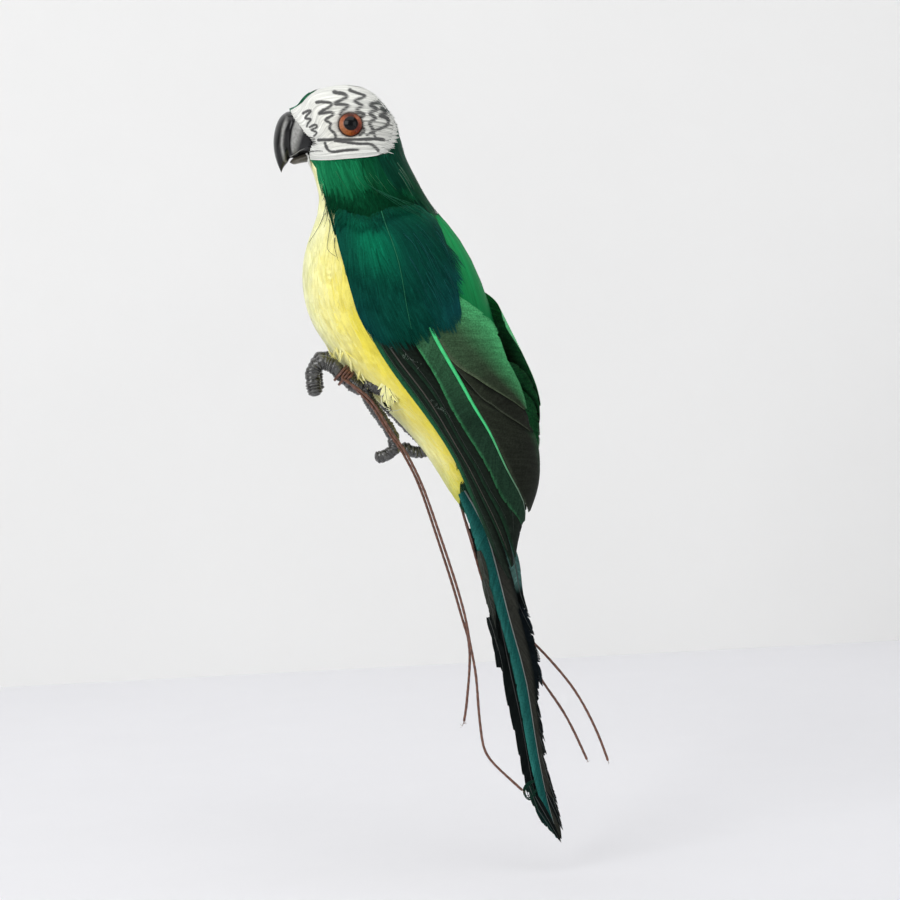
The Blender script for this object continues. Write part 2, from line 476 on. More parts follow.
def natural_slopes(rows):
    """Slopes of the natural cubic spline through rows at 0, 1, 2 and on."""
    count = len(rows)
    system = np.eye(count) * 4.0
    wanted = np.zeros_like(rows)
    for i in range(1, count - 1):
        system[i, i - 1] = 1.0
        system[i, i + 1] = 1.0
        wanted[i] = 3.0 * (rows[i + 1] - rows[i - 1])
    for end, inner in ((0, 1), (count - 1, count - 2)):
        system[end, end] = 2.0
        system[end, inner] = 1.0
    wanted[0] = 3.0 * (rows[1] - rows[0])
    wanted[-1] = 3.0 * (rows[-1] - rows[-2])
    return np.linalg.solve(system, wanted)


def spline(rows, slopes, t):
    """Value of the cubic spline at each parameter t."""
    t = np.clip(np.asarray(t, float), 0.0, len(rows) - 1.0)
    i = np.minimum(t.astype(int), len(rows) - 2)
    f = (t - i)[..., None]
    start = (2 * f ** 3 - 3 * f ** 2 + 1) * rows[i] + (f ** 3 - 2 * f ** 2 + f) * slopes[i]
    end = (3 * f ** 2 - 2 * f ** 3) * rows[i + 1] + (f ** 3 - f ** 2) * slopes[i + 1]
    return start + end


def smooth_path(points, count):
    """Evenly spaced points on the natural spline through the given ones."""
    rows = np.array(points, float)
    dense = spline(rows, natural_slopes(rows), np.linspace(0.0, len(rows) - 1.0, 40 * len(rows)))
    run = np.concatenate([[0.0], np.cumsum(np.linalg.norm(np.diff(dense, axis=0), axis=1))])
    where = np.linspace(0.0, run[-1], count)
    return np.stack([np.interp(where, run, column) for column in dense.T], -1)


class Line:
    """Smooth line through points, read from 0 to 1, and straight on past its ends."""

    def __init__(self, points):
        self.rows = np.array(points, float)
        self.slopes = natural_slopes(self.rows)

    def at(self, share):
        last = len(self.rows) - 1.0
        t = np.asarray(share, float) * last
        before = np.minimum(t, 0.0)[..., None] * self.slopes[0]
        after = np.maximum(t - last, 0.0)[..., None] * self.slopes[-1]
        return spline(self.rows, self.slopes, t) + before + after


class Patch:
    """Plot inside four edges, read by shares down (v) and across (u)."""

    def __init__(self, edges):
        self.front, self.rear = Line(edges["front"]), Line(edges["rear"])
        self.top = Line(edges["top"]) if "top" in edges else None
        self.hem = Line(edges["hem"]) if "hem" in edges else None

    def at(self, v, u):
        v, u = np.broadcast_arrays(np.asarray(v, float), np.asarray(u, float))
        one, other = u[..., None], v[..., None]
        front, rear = self.front.at(v), self.rear.at(v)
        found = front * (1 - one) + rear * one
        for line, share, end in ((self.top, 1 - other, 0.0), (self.hem, other, 1.0)):
            if line is not None:
                a, b = self.front.at(end), self.rear.at(end)
                found = found + (line.at(u) - a * (1 - one) - b * one) * share
        return found


class Loft:
    """A rounded form through oval stations that lean as the bird leans."""

    def __init__(self, stations):
        self.rows = np.array(stations, float) * UNIT
        self.slopes = natural_slopes(self.rows)
        self.last = len(stations) - 1

    def surface(self, t, degrees):
        row = spline(self.rows, self.slopes, t)
        front, back, width = row[..., 0:2], row[..., 2:4], row[..., 4]
        centre, reach = (front + back) / 2, (front - back) / 2
        c, s = np.cos(np.radians(degrees)), np.sin(np.radians(degrees))
        x = centre[..., 0] + reach[..., 0] * c
        z = centre[..., 1] + reach[..., 1] * c
        return np.stack([x, -np.maximum(width, 0.0) * s, z], -1)

    def centre(self, t):
        t = np.asarray(t, float)
        return (self.surface(t, np.zeros_like(t)) + self.surface(t, np.full_like(t, 180.0))) / 2

    def point(self, t, degrees, lift=0.0):
        """Point at a station and an angle, lifted off the surface."""
        t, degrees, lift = np.broadcast_arrays(np.asarray(t, float), degrees, lift)
        here = self.surface(t, degrees)
        down = self.surface(t + 0.02, degrees) - self.surface(t - 0.02, degrees)
        around = self.surface(t, degrees + 1.0) - self.surface(t, degrees - 1.0)
        normal = np.cross(down, around)
        outward = here - self.centre(t)
        normal *= np.where((normal * outward).sum(-1) < 0, -1.0, 1.0)[..., None]
        normal /= np.maximum(np.linalg.norm(normal, axis=-1), 1e-12)[..., None]
        return here + normal * lift[..., None]

    def rate(self, t, degrees, down=False):
        """Metres for each station down, or for each degree round."""
        if down:
            return np.linalg.norm(self.surface(t + 0.05, degrees) - self.surface(t - 0.05, degrees),
                                  axis=-1) / 0.1
        return np.linalg.norm(self.surface(t, degrees + 2.0) - self.surface(t, degrees - 2.0),
                              axis=-1) / 4.0


BODY = Loft(BODY_STATIONS)
WING = Loft(WING_STATIONS)
BEAK_UPPER = Loft(BEAK_UPPER_STATIONS)
BEAK_LOWER = Loft(BEAK_LOWER_STATIONS)


def sided(points, right):
    """Points of the left side as they are, or mirrored to the right one."""
    return points * np.array([1.0, -1.0, 1.0]) if right else points


def folded_over(t, degrees):
    """The far wing's rear part, reaching round the back over the near wing."""
    stretch = np.interp(t, OVERLAP_STATIONS, OVERLAP_STRETCH)
    limit = np.interp(t, OVERLAP_STATIONS, OVERLAP_LIMIT)
    over = np.maximum(degrees - OVERLAP_FROM, 0.0) * stretch
    reached = np.minimum(OVERLAP_FROM + over, np.maximum(limit, degrees))
    return np.where(degrees > OVERLAP_FROM, reached, degrees)


def on_loft(loft, patch, right=False, folded=False):
    """Places a patch's shares and a lift on a loft."""
    def place(v, u, lift):
        spot = patch.at(v, u)
        t, degrees = spot[..., 0], spot[..., 1]
        if folded:
            degrees = folded_over(t, degrees)
        return sided(loft.point(t, degrees, lift), right)
    return place


def round_the_back(edge):
    """The front and rear edges of a patch that lies evenly over the bird's back."""
    return {"front": edge, "rear": [(t, 360 - degrees) for t, degrees in edge]}


def all_round(first, last, rows, columns, whole=360.0):
    """Places of a closed grid: rows from first to last, columns all round."""
    return np.broadcast_arrays(np.linspace(first, last, rows)[:, None],
                               np.linspace(0.0, whole, columns, endpoint=False)[None])


def grid_quads(rows, columns, ring=False):
    """Corner numbers of the faces of a grid of points, closed round if it is a ring."""
    index = np.arange(rows * columns).reshape(rows, columns)
    if ring:
        index = np.concatenate([index, index[:, :1]], 1)
    corners = index[:-1, :-1], index[:-1, 1:], index[1:, 1:], index[1:, :-1]
    return np.stack(corners, -1).reshape(-1, 4)


class Coat:
    """Mesh of one piece, gathered feather by feather."""

    def __init__(self, seed):
        self.random = np.random.default_rng(seed)
        self.points, self.quads, self.tints, self.maps, self.kinds = [], [], [], [], []
        self.count = 0

    def add(self, points, quads, tint, chart, kind=0):
        shape = points.shape
        self.points.append(points.reshape(-1, 3))
        self.quads.append(quads + self.count)
        self.tints.append(np.broadcast_to(tint, shape).reshape(-1, 3))
        self.maps.append(np.broadcast_to(chart, (*shape[:-1], 2)).reshape(-1, 2))
        self.kinds.append(np.full(len(quads), kind))
        self.count += len(self.points[-1])

    def tube(self, points, tint, chart=0.0, kind=0):
        """Add a grid of points that is closed all round."""
        self.add(points, grid_quads(*points.shape[:2], ring=True), tint, chart, kind)

    def object(self, name, materials):
        points = np.concatenate(self.points)
        quads = np.concatenate(self.quads)
        data = bpy.data.meshes.new(name)
        data.vertices.add(len(points))
        data.vertices.foreach_set("co", points.astype(np.float32).ravel())
        data.loops.add(quads.size)
        data.loops.foreach_set("vertex_index", quads.astype(np.int32).ravel())
        data.polygons.add(len(quads))
        data.polygons.foreach_set("loop_start", np.arange(0, quads.size, 4, dtype=np.int32))
        data.polygons.foreach_set("material_index", np.concatenate(self.kinds).astype(np.int32))
        data.update(calc_edges=True)
        tint = data.color_attributes.new("tint", "FLOAT_COLOR", "POINT")
        colours = np.concatenate([np.concatenate(self.tints), np.ones((len(points), 1))], 1)
        tint.data.foreach_set("color", np.clip(colours, 0.0, 1.0).astype(np.float32).ravel())
        chart = data.uv_layers.new(name="barbs")
        charted = np.concatenate(self.maps)[quads.ravel()]
        chart.data.foreach_set("uv", charted.astype(np.float32).ravel())
        data.shade_smooth()
        for made in materials:
            data.materials.append(made)
        thing = bpy.data.objects.new(name, data)
        bpy.context.scene.collection.objects.link(thing)
        return thing


def smooth_noise(random, count, scale):
    """Values that wander between neighbours, over about scale of them at a time."""
    knots = random.normal(size=max(3, int(count / max(scale, 1.0)) + 3))
    where = np.linspace(0.0, len(knots) - 1.0, count)
    return spline(knots[:, None], natural_slopes(knots[:, None]), where)[..., 0]


def strands(coat, place, count, size, tint, lift, attach=0.7, split=0.25, cluster=8, fray=0.06,
            clump=0.5, rows=6, free_rows=3, vary=0.10, fluff=0.0, wander=0.0):
    """A sheet of barbs side by side: joined at first, then loose, tapered and clumped.

    place(s, u, lift) is a point s along the barbs and u across them. size is the sheet's
    length and width in millimetres. tint(s, u) and lift(s, u) give its colour and height.
    """
    random = coat.random
    cuts = [0]
    while cuts[-1] < count:
        cuts.append(cuts[-1] + int(random.integers(max(2, cluster // 2), cluster * 3 // 2 + 2)))
    cuts = np.minimum(np.array(cuts), count)
    strip = np.arange(count) + 0.5
    owner = np.clip(np.searchsorted(cuts, strip) - 1, 0, len(cuts) - 2)
    middle = (cuts[owner] + cuts[owner + 1]) / 2.0
    half_cluster = np.maximum((cuts[owner + 1] - cuts[owner]) / 2.0, 1.0)
    joined = attach + 0.04 * smooth_noise(random, count + 1, cluster * 3)
    joined[cuts[1:-1]] -= split * random.uniform(0.2, 1.0, len(cuts) - 2)
    joined = np.clip(joined, 0.05, 0.98)
    tuft = random.normal(size=len(cuts))[owner]
    offset = (strip - middle) / half_cluster
    end = 1.0 + fray * (tuft - 0.5 * offset ** 2 + 0.35 * random.normal(size=count))
    end = np.maximum(end, np.maximum(joined[:-1], joined[1:]) + 0.02)
    shade = vary * (smooth_noise(random, count + 1, 2) + 0.8 * smooth_noise(random, count + 1, cluster))
    sway = wander * smooth_noise(random, count + 1, cluster * 2)
    chart_at = random.uniform(0.0, 400.0, 2)

    line = np.arange(count + 1)[:, None]
    s = joined[:, None] * np.linspace(0.0, 1.0, rows + 1)[None]
    u = np.broadcast_to(line / count, s.shape) + sway[:, None] * s ** 2
    points = place(s, u, lift(s, line / count))
    colour = tint(s, np.broadcast_to(line / count, s.shape)) * (1.0 + shade[:, None, None])
    chart = np.stack([s * size[0], np.broadcast_to(line / count, s.shape) * size[1]], -1) + chart_at
    coat.add(points, grid_quads(count + 1, rows + 1), colour, chart)

    t = np.linspace(0.0, 1.0, free_rows + 1)[None, :, None]
    root = np.stack([joined[:-1], joined[1:]], -1)[:, None, :]
    s = root + (end[:, None, None] - root) * t
    side = np.array([-0.5, 0.5])[None, None]
    gather = (middle - strip)[:, None, None] * clump * t ** 1.5
    u_base = (strip[:, None, None] + side * (1.0 - (1.0 - BARB_TIP) * t) + gather) / count
    u = u_base + np.stack([sway[:-1], sway[1:]], -1)[:, None] * s ** 2
    raised = lift(s, u_base) + (fluff * random.normal(size=count))[:, None, None] * t ** 2
    points = place(s, u, raised)
    shade_pair = np.stack([shade[:-1], shade[1:]], -1)[:, None, :, None]
    colour = tint(s, u_base) * (1.0 + shade_pair)
    chart = np.stack([s * size[0], u_base * size[1]], -1) + chart_at
    single = grid_quads(free_rows + 1, 2)
    quads = single[None] + (np.arange(count) * (free_rows + 1) * 2)[:, None, None]
    coat.add(points, quads.reshape(-1, 4), colour, chart)


def tube_points(path, radii, sides=6):
    """Rings of points round a path."""
    path = np.asarray(path, float)
    tangent = np.gradient(path, axis=0)
    tangent /= np.maximum(np.linalg.norm(tangent, axis=1), 1e-12)[:, None]
    side = np.cross(tangent, np.array([0.0, 1.0, 0.0]))
    weak = np.linalg.norm(side, axis=1) < 0.15
    side[weak] = np.cross(tangent[weak], np.array([1.0, 0.0, 0.3]))
    for i in range(1, len(side)):
        if (side[i] * side[i - 1]).sum() < 0:
            side[i] = -side[i]
    side /= np.maximum(np.linalg.norm(side, axis=1), 1e-12)[:, None]
    normal = np.cross(side, tangent)
    turn = np.arange(sides) * 2 * math.pi / sides
    ring = side[:, None] * np.cos(turn)[None, :, None] + normal[:, None] * np.sin(turn)[None, :, None]
    return path[:, None] + ring * np.asarray(radii).reshape(len(path), -1)[..., None]


def shaft(coat, place, middle, thickness, tint, lift):
    """A feather's quill: a tapering rod that lies on its vane."""
    v = np.linspace(0.0, 0.97, QUILL_ROWS)
    share = np.linspace(0.0, 1.0, QUILL_ROWS)
    points = tube_points(place(v, middle(v), lift(v)), thickness / 2 * (1.0 - 0.8 * share))
    chart = np.stack([share * 50.0, share * 0.0], -1)[:, None]
    coat.tube(points, np.broadcast_to(tint, (QUILL_ROWS, 3))[:, None], chart, 1)


def vane(coat, place, barbs, size, tint, lift, shaft_at=0.4, sweep=0.12, camber=0.0003, quill=0.0006,
         quill_tint=PALE_SHAFT, edges=(0.0, 1.0), **barb):
    """A quilled feather: barbs leave the shaft on both sides and sweep toward the tip.

    edges are the shares of its width where its barbs end, and may change down the feather.
    """
    middle = shaft_at if callable(shaft_at) else (lambda v: np.full_like(v, shaft_at))
    slack = max(sweep, 0.1) + 0.02
    bend = 1.15
    first = -0.9 * sweep

    for k, edge in enumerate(edges):
        def shares(s, u, edge=edge):
            start = first + (0.997 - first) * u
            shift = sweep * (1.0 - start) / (1.0 - start + slack)
            open_from = np.where(start < 0, (np.maximum(-start, 0.0) / shift) ** (1 / bend), 0.0)
            open_from = np.minimum(open_from, 0.98)
            w = open_from + (1.0 - open_from) * s
            v = start + shift * np.abs(w) ** bend
            at = middle(np.clip(v, 0.0, 1.0))
            goal = edge(start + shift) if callable(edge) else edge
            return v, at + (goal - at) * w, w

        def side(s, u, height):
            return place(*shares(s, u)[:2], height)

        def side_tint(s, u):
            return tint(*shares(s, u)[:2])

        def side_lift(s, u):
            v, across, w = shares(s, u)
            return lift(v, across) - camber * w ** 2

        share = abs(k - float(middle(np.array(0.5))))
        strands(coat, side, barbs, (size[1] * share, size[0]), side_tint, side_lift, **barb)
    if quill:
        shaft(coat, place, middle, quill, quill_tint, lambda v: lift(v, middle(v)))


def fan(coat, loft, at, turn, size, tint, lift, right=False, barbs=20, **barb):
    """A small contour feather on a loft: barbs that fan out from its root to a round tip.

    at is its root's station and degrees, turn how far it points toward the back, in
    degrees, and size its length and width in millimetres.
    """
    station, degrees = at
    length, width = size[0] * UNIT, size[1] * UNIT
    down = float(loft.rate(np.array(station), np.array(degrees), True))
    c, s_turn = math.cos(math.radians(turn)), math.sin(math.radians(turn))

    def place(s, u, height):
        across = (2.0 * u - 1.0)
        q = across * width / 2 * (0.30 + 0.70 * np.sin(np.clip(s, 0, 1.1) * math.pi / 2))
        p = length * s * (1.0 - 0.22 * across ** 2)
        t = station + (p * c - q * s_turn) / down
        round_rate = np.maximum(loft.rate(np.clip(t, 0.3, loft.last - 0.3), degrees), 5e-5)
        return sided(loft.point(t, degrees + (p * s_turn + q * c) / round_rate, height), right)

    strands(coat, place, barbs, size, tint, lift, **barb)


def plume(coat, start, end, width, depth, tint, bow=0.0, barbs=38, right=False, **barb):
    """A small feather in the tail's plane, from one x, z to another, in millimetres."""
    start, end = np.array(start, float), np.array(end, float)
    along = end - start
    long = np.linalg.norm(along)
    side = np.array([along[1], -along[0]]) / long

    def place(v, u, lift):
        v, u, lift = np.broadcast_arrays(np.asarray(v, float), u, lift)
        held = np.clip(v, 0.0, 1.0)
        wide = width * np.sin(math.pi * (0.08 + 0.92 * held) ** 0.75) ** 0.8
        spot = start + along * v[..., None] + side * (
            (0.5 - u) * wide + bow * np.sin(math.pi * held))[..., None]
        y = -depth - lift / UNIT + 0.4 * (2.0 * u - 1.0) ** 2
        return np.stack([spot[..., 0], -y if right else y, spot[..., 1]], -1) * UNIT

    options = dict(attach=0.75, split=0.3, fray=0.08, cluster=8, clump=0.5, rows=4, vary=0.15)
    vane(coat, place, barbs, (long, width), tint, rising(0.0, 0.0), shaft_at=0.5, sweep=0.3,
         quill=0.0004, quill_tint=TAIL_GREY * 0.7, **{**options, **barb})


def tiers(coat, place, bands, count, size, tint, low=0.35, high=1.2, **barb):
    """Overlapping sheets of barbs down a patch, each over the next one down."""
    for start, end in reversed(bands):
        def band(s, u, height, start=start, end=end):
            return place(start + (end - start) * s, u, height)

        def shade(s, u, start=start, end=end):
            return tint(start + (end - start) * s, u) * (0.92 + 0.16 * np.asarray(s)[..., None])
        strands(coat, band, count, (size[0] * (end - start), size[1]), shade, rising(low, high), **barb)


def loose_thread(coat, points, thickness, tint, count=24, sides=5):
    """A thin tapering thread through a few points in x, y, z, in millimetres."""
    path = smooth_path(np.array(points, float) * UNIT, count)
    coat.tube(tube_points(path, thickness / 2 * np.linspace(1.0, 0.35, count), sides), tint)


def body_thread(coat, stops, thickness, tint, right, count=24):
    """A loose thread through stops (form, station, degrees, height in millimetres)."""
    path = np.array([form.point(t, degrees, height * UNIT) for form, t, degrees, height in stops]) / UNIT
    loose_thread(coat, sided(path, right), thickness, tint, count, 4)


def flat(colour, tip=None, start=0.5):
    """Colour of a feather, which may turn to another toward its tip."""
    def tint(s, u):
        base = np.broadcast_to(colour, (*np.shape(s), 3))
        if tip is None:
            return base
        share = np.clip((np.asarray(s) - start) / (1.0 - start), 0.0, 1.0)[..., None]
        return base * (1 - share) + np.asarray(tip) * share
    return tint


def rising(low, high, dome=0.0):
    """Height that grows from root to tip, and falls off to the sides by dome. Millimetres."""
    def lift(s, u):
        return (low + (high - low) * s - dome * (2.0 * np.asarray(u) - 1.0) ** 2) * UNIT
    return lift


def scallops(*steps):
    """An edge that falls back at each step (place down, depth, length) and swells again after it."""
    def edge(v):
        v = np.asarray(v, float)
        inset = np.zeros_like(v)
        for at, depth, long in steps:
            share = np.clip((v - at) / long, 0.0, 1.0)
            inset += np.where(v > at, depth * (1.0 - share) ** 1.5, 0.0)
        return inset
    return edge


def new_material(name, roughness, **values):
    """Principled material whose single values are set on the shader's own sockets."""
    made = bpy.data.materials.new(name)
    made.use_nodes = True
    shader = made.node_tree.nodes["Principled BSDF"]
    shader.inputs["Roughness"].default_value = roughness
    for key, value in values.items():
        shader.inputs[key.replace("_", " ")].default_value = value
    return made, made.node_tree, shader


def add_node(tree, kind, inputs=None, **settings):
    node = tree.nodes.new(kind)
    for key, value in settings.items():
        setattr(node, key, value)
    for key, value in (inputs or {}).items():
        if isinstance(value, bpy.types.NodeSocket):
            tree.links.new(value, node.inputs[key])
        else:
            node.inputs[key].default_value = value
    return node


def noise(tree, vector, scale, detail, values=None, **settings):
    """Fine noise over a place or a chart."""
    inputs = {"Vector": vector, "Scale": scale, "Detail": detail, **(values or {})}
    return add_node(tree, "ShaderNodeTexNoise", inputs, **settings).outputs[0]


def spread(tree, value, low_from, high_from, low, high):
    """A value's range carried over to another one."""
    return add_node(tree, "ShaderNodeMapRange",
                    {0: value, 1: low_from, 2: high_from, 3: low, 4: high}).outputs[0]


def object_place(tree):
    return add_node(tree, "ShaderNodeTexCoord").outputs["Object"]


def colour_from_mesh(tree, shader, factor):
    """The colours kept in the mesh, made lighter and darker by a factor."""
    tint = add_node(tree, "ShaderNodeAttribute", attribute_name="tint").outputs["Color"]
    scaled = add_node(tree, "ShaderNodeVectorMath", {0: tint}, operation="SCALE")
    tree.links.new(factor, scaled.inputs["Scale"])
    tree.links.new(scaled.outputs[0], shader.inputs["Base Color"])
    return tint


def bumped(tree, shader, strength, distance, height):
    bump = add_node(tree, "ShaderNodeBump", {"Strength": strength, "Distance": distance, "Height": height})
    tree.links.new(bump.outputs[0], shader.inputs["Normal"])


def feather_material(name, streak=0.35, speckle=0.12, roughness=0.5, bump=0.35, silk=0.5, sheen=0.0,
                     level=0.5):
    """Barbs: fine streaks along them in colour, gloss and height, over the vane's own tint."""
    made, tree, shader = new_material(
        name, roughness, Sheen_Weight=sheen, Sheen_Roughness=0.5, Anisotropic=silk, IOR=1.25,
        Specular_IOR_Level=level)
    chart = add_node(tree, "ShaderNodeUVMap", uv_map="barbs").outputs["UV"]
    along, wide = (add_node(tree, "ShaderNodeVectorMath", {0: chart, 1: scale},
                            operation="MULTIPLY").outputs[0] for scale in BARB_SCALES)
    thin_streaks = noise(tree, along, 1.0, 3.0, {"Roughness": 0.6}, noise_dimensions="2D")
    wide_streaks = noise(tree, wide, 1.0, 2.0, noise_dimensions="2D")
    dust = noise(tree, object_place(tree), 1400.0, 2.0)
    first = spread(tree, thin_streaks, 0.25, 0.75, 1.0 - streak, 1.0 + streak)
    second = spread(tree, wide_streaks, 0.3, 0.7, 1.0 - streak * 0.6, 1.0 + streak * 0.6)
    third = spread(tree, dust, 0.3, 0.75, 1.0 - speckle, 1.0 + speckle * 1.6)
    both = add_node(tree, "ShaderNodeMath", {0: first, 1: second}, operation="MULTIPLY").outputs[0]
    all_three = add_node(tree, "ShaderNodeMath", {0: both, 1: third}, operation="MULTIPLY").outputs[0]
    tint = colour_from_mesh(tree, shader, all_three)
    dyed = add_node(tree, "ShaderNodeGamma", {0: tint, 1: 0.45}).outputs[0]
    tree.links.new(dyed, shader.inputs["Specular Tint"])
    gloss = spread(tree, thin_streaks, 0.2, 0.8, roughness - 0.1, roughness + 0.12)
    tree.links.new(gloss, shader.inputs["Roughness"])
    bumped(tree, shader, bump, 0.00012, thin_streaks)
    tangent = add_node(tree, "ShaderNodeTangent", direction_type="UV_MAP", uv_map="barbs").outputs[0]
    tree.links.new(tangent, shader.inputs["Tangent"])
    return made


def tinted_material(name, roughness, scale=900.0, low=0.8, high=1.2, **values):
    """Gloss over the colours kept in the mesh, with a fine mottling."""
    made, tree, shader = new_material(name, roughness, **values)
    grain = noise(tree, object_place(tree), scale, 3.0)
    colour_from_mesh(tree, shader, spread(tree, grain, 0.3, 0.7, low, high))
    return made


def paper_material(name, colour):
    """Matt paper of the floor and the wall: barely mottled, with a fine bump."""
    made, tree, shader = new_material(name, 0.9)
    where = object_place(tree)
    shades = add_node(tree, "ShaderNodeValToRGB", {0: noise(tree, where, 6.0, 4.0)})
    for stop, position, factor in zip(shades.color_ramp.elements, (0.3, 0.72), (0.99, 1.01)):
        stop.position = position
        stop.color = (*np.minimum(np.array(colour) * factor, 1), 1.0)
    tree.links.new(shades.outputs[0], shader.inputs["Base Color"])
    fine = noise(tree, where, 36.0, 3.0)
    tree.links.new(spread(tree, fine, 0.3, 0.7, 0.72, 1.125), shader.inputs["Roughness"])
    bumped(tree, shader, 0.5, 0.0002, fine)
    return made


QUILL = tinted_material("quill_horn", 0.35, 260.0, 0.82, 1.12, Coat_Weight=0.15)
SOFT_YELLOW = feather_material("yellow_down", streak=0.06, speckle=0.03, roughness=0.75, sheen=0.05,
                               bump=0.12, silk=0.1, level=0.3)
WHITE_VANE = feather_material("white_vane", streak=0.20, speckle=0.03, roughness=0.6, bump=0.4)
GREEN_HACKLE = feather_material("green_hackle", streak=0.30, speckle=0.08, level=0.22)
TEAL_VANE = feather_material("teal_vane", streak=0.22, bump=0.25, level=0.2)
MANTLE_VANE = feather_material("mantle_vane", streak=0.20, speckle=0.05, roughness=0.6, silk=0.4,
                               bump=0.2, level=0.12)
WING_VANE = feather_material("wing_vane", streak=0.24, speckle=0.30, roughness=0.6, silk=0.4)
TAIL_VANE = feather_material("tail_vane", streak=0.30, speckle=0.20)
BEAK_BLACK = tinted_material("black_horn", 0.26, Specular_IOR_Level=0.25, Coat_Weight=0.25,
                             Coat_Roughness=0.1)
BEAK_GREY = tinted_material("grey_horn", 0.35, Specular_IOR_Level=0.4)
TAPE = tinted_material("black_tape", 0.27, Specular_IOR_Level=0.9)
PAPER = tinted_material("brown_paper", 0.45, Specular_IOR_Level=0.5)
EYE_GLASS = tinted_material("eye_glass", 0.35, IOR=1.2, Coat_Weight=0.4, Coat_Roughness=0.02, Coat_IOR=1.4)


def finish_piece(thing, slot_name, *nodes):
    """Let a piece ride on the body, name its slot, and hide the solids it stands for."""
    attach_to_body(thing, "root")
    if nodes:
        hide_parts(*nodes)


def yellow_edge(t):
    """How far round from the front the yellow feathers reach, in degrees."""
    return np.interp(t, *YELLOW_EDGE)


def yellow_at(t, degrees):
    """Pale at the very front and on the throat, deeper toward the wing and the vent."""
    away = np.clip(np.abs(degrees) / np.maximum(yellow_edge(t), 1.0), 0.0, 1.0)
    deep = 0.04 + 1.6 * (away - 0.20) * (0.15 + 0.85 * ramp(t, 6.8, 3.0))
    return mix(mix(PALE_YELLOW, DEEP_YELLOW, deep), OLIVE_YELLOW, ramp(t, 14.0, 1.6))


def make_core():
    """The body under its feathers, yellow in front and dark behind."""
    coat = Coat(1)
    t, degrees = all_round(0.02, BODY.last - 0.02, 80, 64)
    round_front = np.minimum(degrees, 360.0 - degrees)
    yellow = np.clip((yellow_edge(t) + 4.0 - round_front) / 4.0, 0.0, 1.0) * (t > YELLOW_TOP)
    colour = mix(NAPE_GREEN, yellow_at(t, round_front), yellow)
    coat.tube(BODY.point(t, degrees, -0.0001), colour, np.stack([t * 12.0, degrees * 0.4], -1))
    finish_piece(coat.object("body_core", [SOFT_YELLOW]), "yellow_feathers", "body")


def make_breast():
    """Rows of soft yellow feathers from the throat to the vent, with a tuft between the feet."""
    coat = Coat(2)
    random = coat.random
    t = YELLOW_TOP
    row = 0
    while t < YELLOW_END:
        down = float(BODY.rate(np.array(t), np.array(20.0), True))
        length, width = np.interp(t, *BREAST_LENGTH), np.interp(t, *BREAST_WIDTH)
        step = 0.5 * width * UNIT / float(BODY.rate(np.array(t), np.array(10.0)))
        reach = float(yellow_edge(t + 0.5)) + (2.0 if t > 7.2 else 0.0)
        places = np.arange(-reach, reach + 0.5 * step, step) + (row % 2) * step / 2
        for degrees in places:
            jitter = random.normal(size=4)
            at = (t + 0.05 * jitter[0], degrees + 0.1 * step * jitter[1])
            colour = yellow_at(np.array(at[0] + 0.8), np.array(at[1])) * (1.0 + 0.012 * jitter[2])
            low = 0.10 + 0.06 * random.uniform()
            fan(coat, BODY, at, 0.10 * degrees + 3.0 * jitter[3],
                (length * (1 + 0.06 * jitter[0]), width), flat(colour, colour * 1.02, 0.6),
                rising(low, low + 0.42, 0.18), barbs=19, rows=3, attach=0.58, fray=0.06,
                clump=0.25, cluster=6, vary=0.015, fluff=0.00006)
        t += BREAST_ROW * UNIT / down
        row += 1
    for _ in range(VENT_TUFTS):
        at = (random.uniform(10.9, 12.3), random.uniform(-24.0, 40.0))
        fan(coat, BODY, at, random.normal() * 26.0, (random.uniform(5.0, 9.0), 1.4),
            flat(mix(PALE_YELLOW, DEEP_YELLOW, random.uniform(0.1, 0.8))), rising(0.5, 2.2), barbs=5,
            rows=3, attach=0.35, fray=0.15, clump=0.8, cluster=5, vary=0.03, fluff=0.0003)
    finish_piece(coat.object("breast_feathers", [SOFT_YELLOW]), "yellow_feathers")


def make_nape():
    """Dark green feathers from the crown down the back of the neck."""
    coat = Coat(3)
    random = coat.random
    place = on_loft(BODY, Patch(round_the_back(NAPE_EDGE)))
    tiers(coat, place, NAPE_TIERS, 150, (75.0, 40.0), flat(NAPE_GREEN * 1.1), high=1.0, attach=0.72,
          fray=0.05, cluster=6, clump=0.4, rows=7, vary=0.2)
    for _ in range(NAPE_TUFTS):
        t = random.uniform(3.4, 5.4)
        edge = float(np.interp(t, [3.0, 4.2, 7.2], [152.0, 128.0, 140.0]))
        degrees = random.uniform(edge, 360.0 - edge)
        shade = random.uniform(0.75, 1.4)
        fan(coat, BODY, (t, degrees), random.normal() * 4.0, (18.0, 7.0),
            flat(NAPE_GREEN * shade, NECK_GREEN * shade * 0.5), rising(0.8, 1.4, 0.2), barbs=16, rows=3,
            fray=0.10, attach=0.55, cluster=5, fluff=0.00012)
    for k in range(8):
        t, degrees = random.uniform(4.0, 5.6), 180.0 - random.uniform(34.0, 50.0)
        body_thread(coat, [(BODY, t, degrees, 1.5), (BODY, t + 0.4, degrees + 2.0, 1.75),
                           (BODY, t + random.uniform(0.7, 1.3), degrees + 4.0, 1.6)],
                    0.00026, srgb(84, 118, 98), k % 2)
    finish_piece(coat.object("nape_feathers", [GREEN_HACKLE]), "teal_feathers", "nape_feather")


